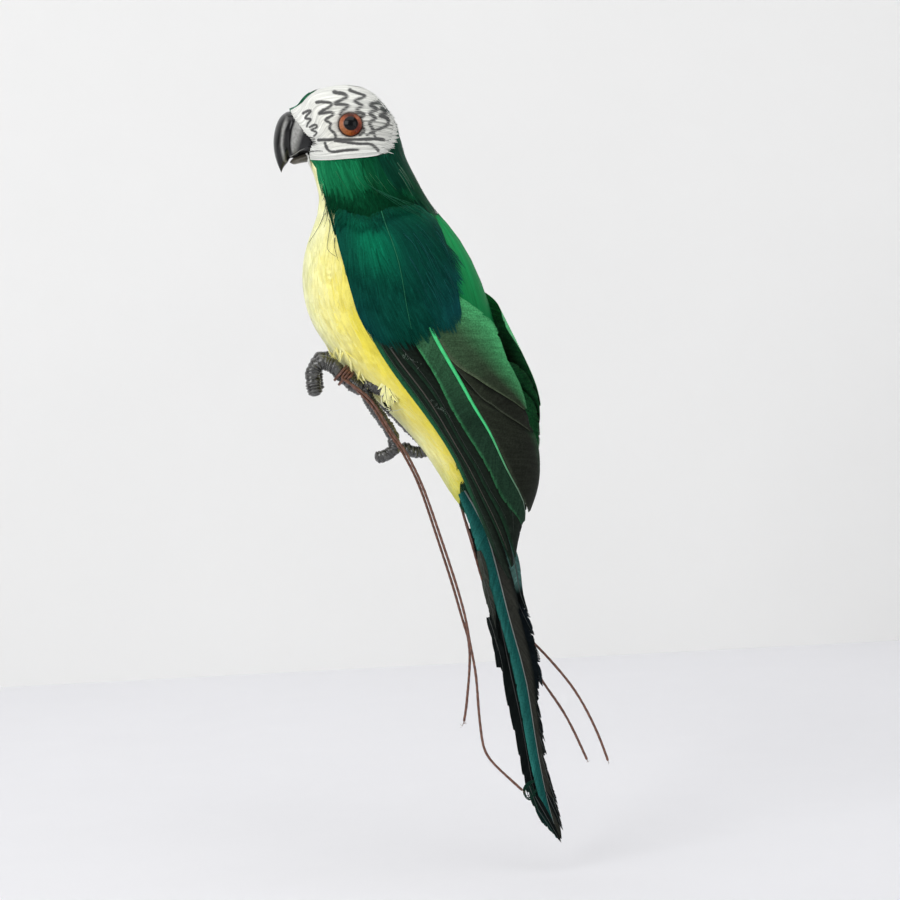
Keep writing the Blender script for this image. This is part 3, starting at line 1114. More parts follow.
def neck_green(v, u):
    """Bright in front, with a pale spot, and darker to the back and the hem."""
    v, u = np.asarray(v), np.asarray(u)
    colour = mix(NECK_GREEN * 1.2, NECK_GREEN * 0.85, (u - 0.1) / 0.35)
    colour = mix(colour, NECK_GREEN * 0.50, (u - 0.46) / 0.06)
    colour = mix(colour, NAPE_GREEN * 0.85, (u - 0.66) / 0.15)
    colour = mix(colour, NECK_GREEN * 0.28, (v - 0.40 - 0.08 * np.sin(9.0 * u)) / 0.20)
    return mix(colour, srgb(58, 120, 72), 0.45 * bell(u, 0.50, 0.05) * bell(v, 0.30, 0.09))


def make_neck(side, right):
    """Green hackles over the side of the neck, dark and ragged where they meet the shoulder."""
    coat = Coat(4 + right)
    random = coat.random
    patch = Patch(NECK)
    tiers(coat, on_loft(BODY, patch, right), NECK_TIERS, 260, (48.0, 50.0), neck_green, high=1.1,
          attach=0.80, fray=0.05, cluster=8, clump=0.4, rows=7, wander=0.006, vary=0.07)
    for k in range(NECK_TUFTS):
        low = k >= NECK_UPPER_TUFTS
        v, u = (random.uniform(0.52, 0.86), random.uniform(0.0, 0.84)) if low else (
            random.uniform(0.05, 0.42), random.uniform(0.05, 0.95))
        shade = neck_green(np.array(v + 0.06), np.array(u)) * random.uniform(0.85, 1.10)
        tip = neck_green(np.array(v + 0.34), np.array(u))
        fan(coat, BODY, patch.at(v, u), 3.0 + 6.0 * (u - 0.5) + (16.0 if low else 4.0) * random.normal(),
            (random.uniform(7.0, 10.0), 5.0) if low else (15.0, 7.0), flat(shade, tip, 0.05),
            rising(0.9, 1.45, 0.25), right, barbs=14, rows=3, fray=0.16 if low else 0.08,
            attach=0.35 if low else 0.6, cluster=4, fluff=0.00018 if low else 0.0001, vary=0.10)
    for _ in range(7):
        t, degrees = random.uniform(4.9, 5.5), random.uniform(60.0, 120.0)
        body_thread(coat, [(BODY, t, degrees, 1.35), (BODY, t + 0.3, degrees + 2.0, 1.6),
                           (BODY, t + random.uniform(0.5, 0.9), degrees + 5.0, 1.5)],
                    0.00016, srgb(58, 116, 80), right)
    body_thread(coat, [(BODY, 4.41, 97.0, 1.3), (BODY, 5.38, 91.0, 1.5), (BODY, 6.05, 101.0, 1.7)],
                0.0003, NECK_GREEN * 0.35, right)
    for k in range(8):
        wide = random.normal(size=4)
        body_thread(coat, [(BODY, 5.6 + 0.08 * k, 92.0 + 2.2 * k, 1.7),
                           (WING, 0.75 + 0.1 * wide[0], 112.0 + 2.4 * k, 1.9),
                           (WING, 1.25 + 0.16 * wide[1], 126.0 + 2.0 * k + 2.0 * wide[2], 1.8)],
                    0.00018, srgb(40, 104, 78) * random.uniform(0.7, 1.1), right)
    finish_piece(coat.object("neck_feathers_" + side, [GREEN_HACKLE]), "teal_feathers",
                 "neck_feather_" + side)


def make_throat_wisps():
    """Dark loose barbs that stray from the neck over the yellow beside it."""
    coat = Coat(8)
    random = coat.random
    for right in (False, True):
        for _ in range(WISP_BARBS):
            apart = WISP_SPREAD * random.normal() * 1.5
            stops = [(BODY, t + 0.02 * random.normal(), degrees + off, 0.9 + 0.25 * random.uniform())
                     for (t, degrees), off in zip(WISP, apart)]
            body_thread(coat, stops, 0.0004, NAPE_GREEN * 0.8, right)
        for hair in HAIRS:
            body_thread(coat, [(BODY, t, degrees, 1.0) for t, degrees in hair], 0.0003,
                        OLIVE_DARK * 0.8, right)
    finish_piece(coat.object("throat_wisps", [GREEN_HACKLE]), "teal_feathers")


def make_mantle():
    """Bright green feathers down the back, between the shoulders."""
    coat = Coat(9)
    place = on_loft(BODY, Patch({**round_the_back(MANTLE_EDGE), "hem": MANTLE_HEM}))

    def green(v, u):
        side = ramp(np.abs(np.asarray(u) - 0.5), 0.34, 0.16)
        return mix(mix(MANTLE_GREEN, MANTLE_DARK, np.asarray(v) * 0.9), MANTLE_DARK * 0.9, side * 0.4)

    tiers(coat, place, MANTLE_TIERS, 240, (62.0, 50.0), green, low=0.5,
          high=1.6, attach=0.90, split=0.08, fray=0.02, cluster=16, clump=0.3, rows=10, vary=0.05)
    for k, degrees in enumerate(MANTLE_SINGLES):
        fan(coat, BODY, (7.0 + 0.1 * (k % 2), degrees), 0.35 * (degrees - 180), (52.0, 17.0),
            flat(MANTLE_GREEN * (1.05 - 0.05 * (k % 3)), MANTLE_DARK, 0.3),
            rising(1.5, 3.0 + 0.2 * (k % 2), 0.6), barbs=80, rows=8, attach=0.93, split=0.06,
            fray=0.015, cluster=16, vary=0.05)
    finish_piece(coat.object("mantle_feathers", [MANTLE_VANE]), "mantle_feathers", "mantle_feather")


def make_rump():
    """Dark feathers on the lower back, under the folded wings."""
    coat = Coat(10)
    random = coat.random
    t = RUMP_TOP
    while t < RUMP_END:
        for degrees in np.arange(180 - RUMP_REACH, 181 + RUMP_REACH, RUMP_PITCH):
            shade = random.uniform(0.8, 1.5)
            fan(coat, BODY, (t + 0.05 * random.normal(), degrees), 3.0 * random.normal(), (26.0, 12.0),
                flat(PRIMARY_DARK * shade, PRIMARY_GREEN * shade), rising(0.1, 1.2, 0.3),
                barbs=16, rows=3, attach=0.65, fray=0.08, cluster=5)
        t += RUMP_STEP
    finish_piece(coat.object("rump_feathers", [TEAL_VANE]), "secondary_feathers", "rump_feather")


def shoulder_teal(v, u):
    """Brighter left of the shaft, darker right of it, bluish toward the hem."""
    v, u = np.asarray(v), np.asarray(u)
    colour = mix(DEEP_TEAL * 0.95, BRIGHT_TEAL, bell(u, 0.36, 0.17) * bell(v, 0.32, 0.24))
    colour = mix(colour, DEEP_TEAL * 0.80, (u - 0.50) / 0.12 * np.clip(0.3 + v, 0, 1))
    colour = mix(colour, BRIGHT_TEAL * 0.8, 0.8 * ramp(u, 0.62, 0.2) * np.clip(1 - v / 0.4, 0, 1))
    colour = mix(colour, DEEP_TEAL * 0.82, 0.9 * ramp(v, 0.5, 0.25))
    blue = ramp(v, 0.60, 0.3) * np.clip(np.abs(u - 0.42) * 2.6 - 0.25, 0.0, 1.0)
    return mix(colour, BLUE_TIP * 0.85, 0.5 * blue)


def fanned(s, u):
    """Shares down and across for barbs that lean outward from the pad's shaft."""
    s, u = np.broadcast_arrays(np.asarray(s, float), u)
    return s, (u - 0.5) * (0.50 + 0.50 * np.sin(np.clip(s, 0.0, 1.0) * math.pi / 2))


def rim_of(grid):
    """The outermost points of a grid, once round."""
    return np.concatenate([grid[0], grid[1:, -1], grid[-1, -2::-1], grid[-2:0:-1, 0]])


def make_shoulder(side, right):
    """Dark teal feathers that pad the shoulder, with a long fine shaft down the middle."""
    coat = Coat(11 + right)
    random = coat.random
    outer = Patch(SHOULDER_OUTER)
    v, u = np.linspace(0.0, 1.0, 30)[:, None], np.linspace(0.0, 1.0, 40)[None]
    rims = []
    for loft, patch in ((BODY, Patch(SHOULDER_INNER)), (WING, outer)):
        spots = patch.at(v, u)
        rims.append(rim_of(sided(loft.point(spots[..., 0], spots[..., 1], 0.0), right)))
    coat.tube(np.stack([rims[0], (rims[0] + rims[1]) / 2, rims[1]]), DEEP_TEAL * 0.7)
    place = on_loft(WING, outer, right)
    strands(coat, place, 300, (55.0, 52.0), shoulder_teal, rising(0.1, 1.1), attach=0.97, split=0.05,
            fray=0.012, cluster=9, rows=9, vary=0.04)

    def leaning(s, u, height):
        s, off = fanned(s, u)
        return place(0.01 + 0.975 * s, 0.53 - 0.05 * s + off, height)

    def leaning_tint(s, u):
        s, off = fanned(s, u)
        return shoulder_teal(s, 0.5 + off)

    strands(coat, leaning, 460, (55.0, 48.0), leaning_tint, rising(0.6, 1.7), attach=0.92, split=0.10,
            fray=0.025, cluster=8, rows=18, vary=0.08, wander=0.008, clump=0.4)
    for _ in range(PAD_TOP_TUFTS):
        share = random.uniform(0.12, 0.97)
        root = random.uniform(-0.03, 0.02)
        dark = mix(NECK_GREEN * 0.32, DEEP_TEAL * 0.9, random.uniform(0.2, 0.9))
        reach = random.uniform(3.6, 7.0) * (1.0 if share < 0.55 else 0.7)
        tip = mix(dark, shoulder_teal(np.array(0.16), np.array(share)), 0.85)
        fan(coat, WING, tuple(outer.at(root, share)), -6.0 + 22.0 * share + 14.0 * random.normal(),
            (reach, 4.0), flat(dark, tip, 0.05), rising(0.75, 1.25, 0.2), right, barbs=14, rows=3,
            attach=0.3, split=0.5, fray=0.22, cluster=3, clump=0.7, vary=0.12, fluff=0.00016)
    for _ in range(PAD_TUFTS):
        share = 0.16 + 0.76 * random.uniform()
        root = random.uniform(0.35, 0.76)
        light = random.uniform(0.85, 1.25)
        start = shoulder_teal(np.array(root + 0.06), np.array(share))
        tip = shoulder_teal(np.array(root + 0.22), np.array(share)) * light
        fan(coat, WING, tuple(outer.at(root, share)), -4.0 + 24.0 * share + 6.0 * random.normal(),
            (13.0 if root < 0.6 else 11.5, 7.0), flat(start, tip, 0.3),
            rising(0.7 + 1.0 * root, 1.0 + 1.1 * root, 0.2), right, barbs=28, rows=4, attach=0.5,
            split=0.35, fray=0.10, cluster=4, clump=0.5, vary=0.12, fluff=0.00006)
    for _ in range(PAD_THREADS):
        share, root = random.uniform(0.56, 0.92), random.uniform(0.25, 0.70)
        long = random.uniform(0.14, 0.26)
        stops = ((root, share, 0.8), (root + long / 2, share + 0.03, 1.1),
                 (min(root + long, 0.99), share + 0.05, 1.1))
        body_thread(coat, [(WING, *outer.at(down, across), height + root) for down, across, height in stops],
                    0.0002, srgb(30, 86, 84) * random.uniform(0.5, 1.2), right)
    body_thread(coat, [(WING, *stop) for stop in PAD_SHAFT], 0.00042, srgb(46, 118, 88), right, 40)
    finish_piece(coat.object("shoulder_feathers_" + side, [TEAL_VANE, QUILL]), "teal_feathers",
                 "shoulder_feather_" + side)


# Colours of each wing feather, from its place down (v) and across (u) it.
def secondary_1_tint(v, u):
    rim = ramp(u, 0.34, 0.55) ** 1.2 * np.clip(1.2 - 0.7 * v, 0, 1)
    base = mix(srgb(58, 86, 60), OLIVE_DARK * 0.9, v * 1.6)
    return mix(mix(base, RIM_GREEN * 1.45, rim), srgb(82, 96, 72), (0.06 - u) / 0.05)


def inner_secondary_tint(v, u):
    rim = ramp(u, 0.80, 0.2) * ramp(v, 0.45, 0.1) * np.clip(0.9 - v, 0, 1)
    base = mix(srgb(46, 52, 41), srgb(31, 34, 28), v * 1.6)
    return mix(mix(base, RIM_GREEN * 0.7, rim), srgb(66, 74, 58), (0.05 - u) / 0.05)


def secondary_4_tint(v, u):
    base = mix(srgb(48, 88, 60), srgb(28, 50, 37), v * 2.4)
    return mix(base, RIM_GREEN, 0.8 * bell(u, 0.02, 0.05) * np.clip(1.25 - v, 0, 1))


def primary_tint(v, u):
    return mix(PRIMARY_DARK * 0.85, PRIMARY_GREEN, (0.30 - u) * 2.0)


def primary_3_tint(v, u):
    base = mix(srgb(28, 82, 54), PRIMARY_DARK, (u - 0.28) / 0.30)
    return mix(base, PRIMARY_DARK, 0.8 * (v - 0.45) / 0.4)


WING_TINTS = {
    "secondary_1": secondary_1_tint, "secondary_2": inner_secondary_tint,
    "secondary_3": inner_secondary_tint, "secondary_4": secondary_4_tint,
    "primary_1": primary_tint, "primary_2": primary_tint, "primary_3": primary_3_tint,
}


def wing_tint(kind, far):
    """Colours over one wing feather, from its place down (v) and across (u) it."""
    def tint(v, u):
        v, u = np.broadcast_arrays(np.asarray(v, float), u)
        colour = WING_TINTS[kind](v, u)
        if kind in WING_CREASES:
            edge = np.interp(v, *WING_CREASES[kind])
            colour = mix(colour, srgb(10, 12, 10), 0.9 * bell(u, edge, 0.09))
        if far and kind in SECONDARIES_IN_SIGHT:
            rim = ramp(u, 0.86, 0.12) * np.clip(v * 2 - 0.6, 0, 1)
            lit = mix(RIM_GREEN * 1.9, srgb(130, 200, 150), rim)
            colour = mix(colour, lit, 0.95 * ramp(u, 0.46, 0.25))
        return colour
    return tint


def make_wing(side, right):
    """Long wing feathers, one piece each, laid over each other from the back to the front."""
    for k, (feather, (front, rear, layers)) in enumerate(WING_FEATHERS.items()):
        coat = Coat(20 + 10 * right + k)
        barbs, size, at, sweep, quill, quill_tint = WING_LOOK[feather]
        tint = wing_tint(feather, right)
        quilled = dict(shaft_at=at, sweep=sweep, camber=0.0004, quill=quill, quill_tint=quill_tint,
                       vary=0.05)
        place = on_loft(WING, Patch({"front": front, "rear": rear}), right, folded=right)
        high = layers * WING_LAYER
        soft = feather in SECONDARIES_IN_SIGHT
        vane(coat, place, barbs, size, tint, rising(high, high + 0.1), rows=14 if soft else 6,
             attach=0.97, split=0.05, fray=0.009 if soft else 0.005, cluster=16, clump=0.3, **quilled)
        if feather == "primary_1":
            place = on_loft(WING, Patch(UNDER_PRIMARY), right, folded=right)
            low = UNDER_LAYERS * WING_LAYER
            vane(coat, place, 110, (60.0, 12.0), tint, rising(low, low + 0.1), rows=6, attach=0.94,
                 split=0.2, fray=0.02, cluster=10, clump=0.4, **quilled)
        name = "wing_%s_%s" % (side, feather)
        slot_name = "primary_feathers" if "primary" in feather else "secondary_feathers"
        finish_piece(coat.object(name + "_vane", [WING_VANE, QUILL]), slot_name, name)


def tail_place(left, right, depths):
    """Places a tail feather's shares on its own leaning sheet, with its lift to the left."""
    patch = Patch({"front": left, "rear": right})

    def place(v, u, lift):
        v, u, lift = np.broadcast_arrays(np.asarray(v, float), u, lift)
        spot = patch.at(v, u) * UNIT
        depth = np.interp(v, TAIL_DEPTH_SHARES, depths) * UNIT
        return np.stack([spot[..., 0], -depth - lift, spot[..., 1]], -1)
    return place


def tail_tint(rim, teal, grey, split):
    """A dyed left vane, brightest along its edge, and a dark right one."""
    def tint(v, u):
        u = np.asarray(u)
        at = split(np.clip(v, 0.0, 1.0)) if callable(split) else split
        colour = mix(rim, teal, u / np.maximum(at, 0.05) / 0.6)
        colour = mix(colour, grey, (u - at + 0.03) / 0.03)
        return mix(colour, TAIL_BLACK, 0.85 * ramp(u, 0.80, 0.12))
    return tint


def dark_spike(tint):
    """The same colours, black along the rear edge and down the tip."""
    def shaded(v, u):
        v, u = np.broadcast_arrays(np.asarray(v, float), u)
        return mix(tint(v, u), TAIL_BLACK, ramp(v, 0.55, 0.15) + 0.4 * ramp(u, 0.7, 0.2))
    return shaded


def tail_looks():
    """For each tail feather its colours, shaft, quill colour, barbs, edges and style."""
    right_edge, right_ragged = scallops(*RIGHT_EDGE_STEPS), scallops(*RIGHT_RAGGED_STEPS)
    black = TAIL_BLACK
    return {
        "tail_feather_long_left": (
            (TAIL_RIM, TAIL_TEAL, srgb(42, 43, 39)), lambda v: np.interp(v, *TAIL_SHAFT),
            PALE_SHAFT * 0.6, 420, (0.0, lambda v: 0.97 - right_edge(v)), SMOOTH),
        "tail_feather_dark_left": (
            (black, black, black), 0.55, TAIL_GREY * 0.5, 300, (scallops(*LEFT_BLACK_STEPS), 1.0), SMOOTH),
        "tail_feather_dark_right": (
            (black, black, BLUE_BLACK), 0.4, TAIL_GREY * 0.6, 200, (0.0, 1.0), RAGGED),
        "tail_feather_long_right": (
            (TAIL_RIM * 0.7, TAIL_TEAL * 0.8, black), 0.5, PALE_SHAFT, 300,
            (0.05, lambda v: 1.0 - right_ragged(v)), RAGGED),
        "tail_covert": (
            (srgb(100, 140, 134), srgb(92, 130, 124), srgb(70, 104, 100)), 0.45, TAIL_GREY, 110,
            (0.0, 0.74), SMOOTH),
    }


def make_tail():
    """Long tail feathers, each a vane on its own shaft, with ragged and broken edges."""
    looks = tail_looks()
    for k, (name, (left, right, depths)) in enumerate(TAIL_FEATHERS.items()):
        colours, at, quill_tint, barbs, edges, style = looks[name]
        coat = Coat(50 + k)
        long = np.hypot(left[-1][0] - left[0][0], left[-1][1] - left[0][1])
        shades = tail_tint(*colours, at)
        if name == "tail_covert":
            shades = dark_spike(shades)
        vane(coat, tail_place(left, right, depths), barbs, (long, TAIL_WIDTH), shades, rising(0.1, 0.1),
             shaft_at=at, sweep=0.07, camber=0.0005, quill=0.0007, quill_tint=quill_tint, rows=8,
             vary=0.05, edges=edges, **style)
        for depth, colour, tip, tuft_style, tufts in TAIL_TUFTS.get(name, ()):
            tint = flat(colour, None if tip == 1 else colour * tip)
            for x, z, end_x, end_z, width in tufts:
                plume(coat, (x, z), (end_x, end_z), width, depth, tint, **tuft_style)
        finish_piece(coat.object(name + "_vane", [TAIL_VANE, QUILL]), "tail_feathers", name)


def marker_segments(random):
    """Every stroke as short straight pieces, each with its half width."""
    starts, ends, halves = [], [], []
    for first, last, points in STROKES:
        path = Line(points).at(np.linspace(0.0, 1.0, 5 * len(points)))
        pen = np.linspace(first, last, len(path) - 1) / 2 * PEN_SPREAD
        starts.append(path[:-1])
        ends.append(path[1:])
        halves.append(pen * random.uniform(0.85, 1.15, len(pen)))
    return np.concatenate(starts), np.concatenate(ends), np.concatenate(halves)


def inked(points, tint, random):
    """Barbs' colours with the marker strokes drawn over them, seen from the side."""
    spots = points[:, [0, 2]] / UNIT
    cover = np.zeros(len(spots))
    wobble = 0.07 * random.normal(size=len(spots))
    for a, b, half in zip(*marker_segments(random)):
        near = np.flatnonzero(np.abs(spots - (a + b) / 2).max(1) < 2.2)
        q, along = spots[near] - a, b - a
        share = np.clip((q @ along) / max(along @ along, 1e-9), 0.0, 1.0)
        away = np.linalg.norm(q - share[:, None] * along, axis=1) + wobble[near]
        inside = np.clip((half + PEN_EDGE - away) / (2 * PEN_EDGE), 0.0, 1.0)
        cover[near] = np.maximum(cover[near], inside)
    return mix(tint, INK, 0.9 * cover)


def eye_frame(right):
    """The eye's centre and the direction that it looks in."""
    centre = BODY.point(EYE_STATION, EYE_ANGLE, -EYE_SINK)
    outward = BODY.point(EYE_STATION, EYE_ANGLE, 0.01) - centre
    outward /= np.linalg.norm(outward)
    return sided(centre, right), sided(outward, right)


def soft_white(s, u):
    """White barbs, warmer in the middle of the patch and lighter along its lower edge."""
    s, u = np.asarray(s), np.asarray(u)
    warm = mix(WHITE_BARB, WHITE_BARB * np.array([0.97, 0.96, 0.92]), bell(s, 0.55, 0.3) * bell(u, 0.6, 0.3))
    return mix(warm, WHITE_BARB * 1.08, (u - 0.86) / 0.14)


def make_face(side, right):
    """White patch whose barbs run back from the beak, drawn on with a marker."""
    coat = Coat(60 + right)
    random = coat.random
    patch = on_loft(BODY, Patch(FACE), right)
    base = Line(np.array(BEAK_BASE) * UNIT)

    def back(s, u, height):
        points = patch(u, s, height)
        leave = np.clip(1.0 - np.asarray(s) / 0.22, 0.0, 1.0)[..., None] ** 2
        start = sided(base.at(np.broadcast_to(u, points.shape[:-1])), right)
        return points + (start - patch(u, 0.0 * np.asarray(s), height)) * leave

    strands(coat, back, 250, (36.0, 46.0), soft_white, rising(0.9, 1.2), attach=0.955, split=0.07,
            fray=0.02, cluster=5, clump=0.6, rows=126, free_rows=5, vary=0.07, fluff=0.0001)
    for _ in range(FACE_REAR_TUFTS):
        t = random.uniform(2.2, 3.9)
        degrees = float(np.interp(t, [2.2, 2.6, 3.15, 3.8], [163, 162, 149, 130]))
        at = (t, degrees - random.uniform(3.0, 8.0) - 3.0 * (t > 3.5))
        fan(coat, BODY, at, 92.0 + 9.0 * random.normal(), (random.uniform(2.6, 4.6), 0.7),
            flat(WHITE_BARB), rising(1.25, 1.5), right, barbs=3, rows=3, attach=0.3, fray=0.15,
            clump=0.7, vary=0.03, fluff=0.0001)
    sink_eye_and_ink(coat, right)
    for _ in range(BEAK_BASE_THREADS):
        share = random.uniform(0.03, 0.97)
        run = np.array([[0.0, 0.0, 0.0], [0.9, -0.5, 0.6 * (1 - share)], [1.8, -0.9, 1.2 * (1 - share)]])
        start = base.at(np.array(share)) / UNIT
        path = start + run * random.uniform(0.5, 1.2) + np.array([-0.3, -0.25, -0.1])
        loose_thread(coat, sided(path, right), 0.00018, WHITE_BARB * random.uniform(0.5, 1.15), 8, 4)
    for k in range(9):
        body_thread(coat, [(BODY, 4.35 + 0.03 * k, 9.0 + 1.1 * k, 0.8),
                           (BODY, 4.70 + 0.05 * k, 8.0 + 1.0 * k, 1.2),
                           (BODY, 5.05 + 0.05 * k, 8.5 + 0.9 * k, 0.9)], 0.0006, WHITE_BARB, right, 10)
    for k in range(7):
        path = base.at(np.array(0.58 + 0.05 * k)) / UNIT + np.array(
            [[-1.2, -0.3, 0.3], [0.6, -0.7, 0.1], [2.2, -1.2, 0.5 * (k % 3) - 0.4]])
        loose_thread(coat, sided(path, right), 0.0005, srgb(40, 40, 42), 8, 4)
    finish_piece(coat.object("face_feathers_" + side, [WHITE_VANE]), "white_feathers",
                 "face_patch_" + side)


def sink_eye_and_ink(coat, right):
    """Dent the patch round the eye, darken it there, and draw the marker strokes on it."""
    centre, outward = eye_frame(right)
    points = np.concatenate(coat.points)
    away = points - centre
    away = np.linalg.norm(away - (away @ outward)[:, None] * outward, axis=1)
    near = (points @ outward) > (centre @ outward) - 0.004
    sink = 0.0014 * np.clip((0.0078 - away) / 0.003, 0.0, 1.0) ** 2 * near
    coat.points = [points - outward * sink[:, None]]
    colours = inked(points, np.concatenate(coat.tints), np.random.default_rng(7))
    rim = 0.7 * np.clip((0.0060 - away) / 0.0005, 0.0, 1.0) * near
    coat.tints = [mix(colours, srgb(70, 46, 36), rim)]


def make_crown():
    """Thin green stripe of barbs from the beak up over the forehead."""
    coat = Coat(63)
    place = on_loft(BODY, Patch(CROWN))
    tip = np.array(CROWN_TIP) * UNIT

    def over(v, u, height):
        points = place(v, u, height)
        leave = np.clip(1.0 - np.asarray(v) / 0.35, 0.0, 1.0)[..., None] ** 1.5
        off = np.abs(u - 0.5) * 2
        start = tip + np.array([0.6, 7.0, -2.2]) * UNIT * np.stack([off, u - 0.5, off], -1)
        return points + (start - place(0.0 * np.asarray(v), u, height)) * leave

    for start, end, shade in CROWN_TIERS:
        def band(s, u, height, start=start, end=end):
            return over(start + (end - start) * s, u, height)
        strands(coat, band, 60, (20.0, 7.0), flat(BRIGHT_TEAL * shade, NECK_GREEN * shade * 0.8, 0.4),
                rising(1.3, 1.7, 0.4), attach=0.75, fray=0.08, cluster=6, rows=16, vary=0.2)
    for k in range(12):
        u = np.full(8, 0.1 + 0.8 * ((k * 0.618034) % 1.0))
        path = over(np.linspace(0.0, 0.7, 8), u, 0.0019) / UNIT
        loose_thread(coat, path, 0.0003, srgb(112, 180, 152) if k % 2 else NAPE_GREEN, 16, 4)
    finish_piece(coat.object("crown_feathers", [GREEN_HACKLE]), "teal_feathers", "crown_feather")


def from_line(spots, points):
    """The way to each spot from the nearest point of a line."""
    apart = spots[..., None, :] - Line(points).at(np.linspace(0.0, 1.0, 60))
    nearest = np.linalg.norm(apart, axis=-1).argmin(-1)[..., None, None]
    return np.take_along_axis(apart, np.broadcast_to(nearest, (*nearest.shape[:-1], 2)), -2)[..., 0, :]


def make_beak():
    """Black moulded beak: the upper half with a polished ridge and cheek beside its groove."""
    coat = Coat(64)
    t, degrees = all_round(0.12, BEAK_UPPER.last - 0.001, 100, 124)
    fade = np.clip((BEAK_UPPER.last - t) / 2.2, 0.0, 1.0)
    spots = BEAK_UPPER.point(t, degrees, 0.0)[..., [0, 2]] / UNIT
    off = from_line(spots, BEAK_GROOVE)
    away = np.linalg.norm(off, axis=-1)
    lift = 0.00040 - 0.00105 * bell(away, 0.0, 1.15) - 0.0002 * bell(away, 0.0, 3.0)
    inside = from_line(spots, [(x, z) for x, _, z in BEAK_BASE])
    sunk = np.clip(np.linalg.norm(inside, axis=-1) / 1.3, 0.0, 1.0) * (inside[..., 0] > 0)
    points = BEAK_UPPER.point(t, degrees, lift * fade - 0.0026 * sunk)
    behind = away * np.sign(off[..., 0])
    black, sheen = srgb(13, 13, 15), srgb(158, 158, 155)
    (x0, z0), (x1, z1) = CHEEK_LINE
    x, z = spots[..., 0], spots[..., 1]
    past = ((x - x0) * (z0 - z1) - (z - z0) * (x0 - x1)) / math.hypot(x1 - x0, z1 - z0)
    cheek = ramp(behind, 1.2, 0.8) * np.clip((1.2 - past) / 2.8, 0.0, 1.0)
    cheek = cheek * ramp(z, 105.5, 2.5) * np.clip((123.0 - z) / 3.0, 0.3, 1.0)
    ridge = bell(behind, -2.4, 0.62) * np.clip((124.0 - z) / 4.0, 0.0, 1.0) * ramp(z, 102.0, 5.0)
    colour = mix(mix(black, sheen, 0.95 * cheek), sheen, 0.9 * ridge)
    coat.tube(points, colour, np.stack([t * 4.0, degrees * 0.1], -1))
    for right in (False, True):
        loose_thread(coat, sided(np.array(BEAK_THREAD), right), 0.0004, srgb(150, 150, 146), 20, 5)
    finish_piece(coat.object("beak_upper_shell", [BEAK_BLACK]), "black_beak", "beak_upper")
    coat = Coat(65)
    t, degrees = all_round(0.3, BEAK_LOWER.last - 0.01, 50, 48)
    line = -0.00025 * bell(np.minimum(degrees, 360 - degrees), 60.0, 14.0)
    points = BEAK_LOWER.point(t, degrees, line * np.clip((BEAK_LOWER.last - t), 0, 1))
    coat.tube(points, mix(srgb(92, 88, 78), srgb(40, 38, 31), (2.3 - t) / 1.3), np.stack([t, degrees], -1))
    finish_piece(coat.object("beak_lower_shell", [BEAK_GREY]), "grey_beak", "beak_lower")


def make_eye(side, right):
    """Glass-look eye: black pupil, an amber iris of uneven depth and a dark rim under gloss."""
    coat = Coat(66 + right)
    centre, outward = eye_frame(right)
    level = np.array([-1.0, 0.0, 0.0])
    level -= (level @ outward) * outward
    level /= np.linalg.norm(level)
    upright = np.cross(level, outward) * (-1.0 if right else 1.0)
    polar, turn = all_round(0.004, math.pi - 0.004, EYE_RINGS, EYE_SIDES, 2 * math.pi)
    radius = EYE_DIAMETER / 2 * (1.0 + 0.035 * bell(polar, 0.0, 0.55))
    points = centre + radius[..., None] * (
        outward * np.cos(polar)[..., None] + level * (np.sin(polar) * np.cos(turn))[..., None]
        + upright * (np.sin(polar) * np.sin(turn))[..., None])
    out = np.sin(np.minimum(polar, math.pi / 2))
    stops = np.array([stop for stop, _ in IRIS], float)
    shades = np.array([srgb(*shade) for _, shade in IRIS])
    iris = np.stack([np.interp(np.degrees(turn), stops, column) for column in shades.T], -1)
    rays = 0.10 * np.sin(23 * turn + 3.0 * np.sin(5 * turn)) + 0.06 * np.sin(61 * turn)
    iris = iris * (1.0 + rays[..., None])
    front = bell(np.minimum(turn, 2 * math.pi - turn), 0.0, 0.8) + 0.5 * bell(turn, math.pi, 0.5)
    iris = mix(iris, srgb(150, 134, 134), 0.8 * front * bell(out, 0.55, 0.07))
    iris = mix(iris, srgb(52, 24, 13), (out - 0.86) / 0.07)
    colour = mix(iris * 0.56, srgb(2, 2, 5), (0.58 - out) / 0.05)
    coat.tube(points, colour, np.stack([polar, turn], -1))
    finish_piece(coat.object("eyeball_" + side, [EYE_GLASS]), "amber_eye", "eye_" + side)


def wrapped_wire(coat, points, diameter):
    """A wire under twisted tape: one lumpy thread wound round it, turn beside turn."""
    rows = np.array(points)
    length = np.linalg.norm(np.diff(rows, axis=0), axis=1).sum()
    count = int(length / TAPE_STEP)
    run = np.linspace(0.0, length, count)[:, None]
    turn = (np.arange(TAPE_SIDES) * 2 * math.pi / TAPE_SIDES)[None]
    random = coat.random
    slip = 0.55 * smooth_noise(random, count, 22)[:, None]
    thread = np.abs(np.sin(math.pi * (run / TAPE_PITCH + slip) + turn / 2)) ** 0.5
    lumps = smooth_noise(random, count, 9)[:, None]
    lumps = lumps * np.cos(turn + 5 * smooth_noise(random, count, 18)[:, None])
    folds = np.cos(3.0 * turn + run / TAPE_PITCH * 2.1)
    radius = diameter / 2 * (0.82 + 0.18 * thread + 0.06 * lumps + 0.03 * folds)
    from_end = (1.0 - np.minimum(run, length - run) / (diameter * 0.35)).clip(0)
    radius = radius * np.maximum(np.sqrt(np.clip(1.0 - from_end ** 2, 0.0, 1.0)), 0.02)
    shade = (0.08 + 0.95 * thread ** 1.8)[..., None] * srgb(62, 62, 59) * (1.0 + 0.3 * folds[..., None])
    chart = np.stack(np.broadcast_arrays(run * 1000.0, turn * 3.0), -1)
    coat.tube(tube_points(smooth_path(rows, count), radius, TAPE_SIDES), shade, chart)


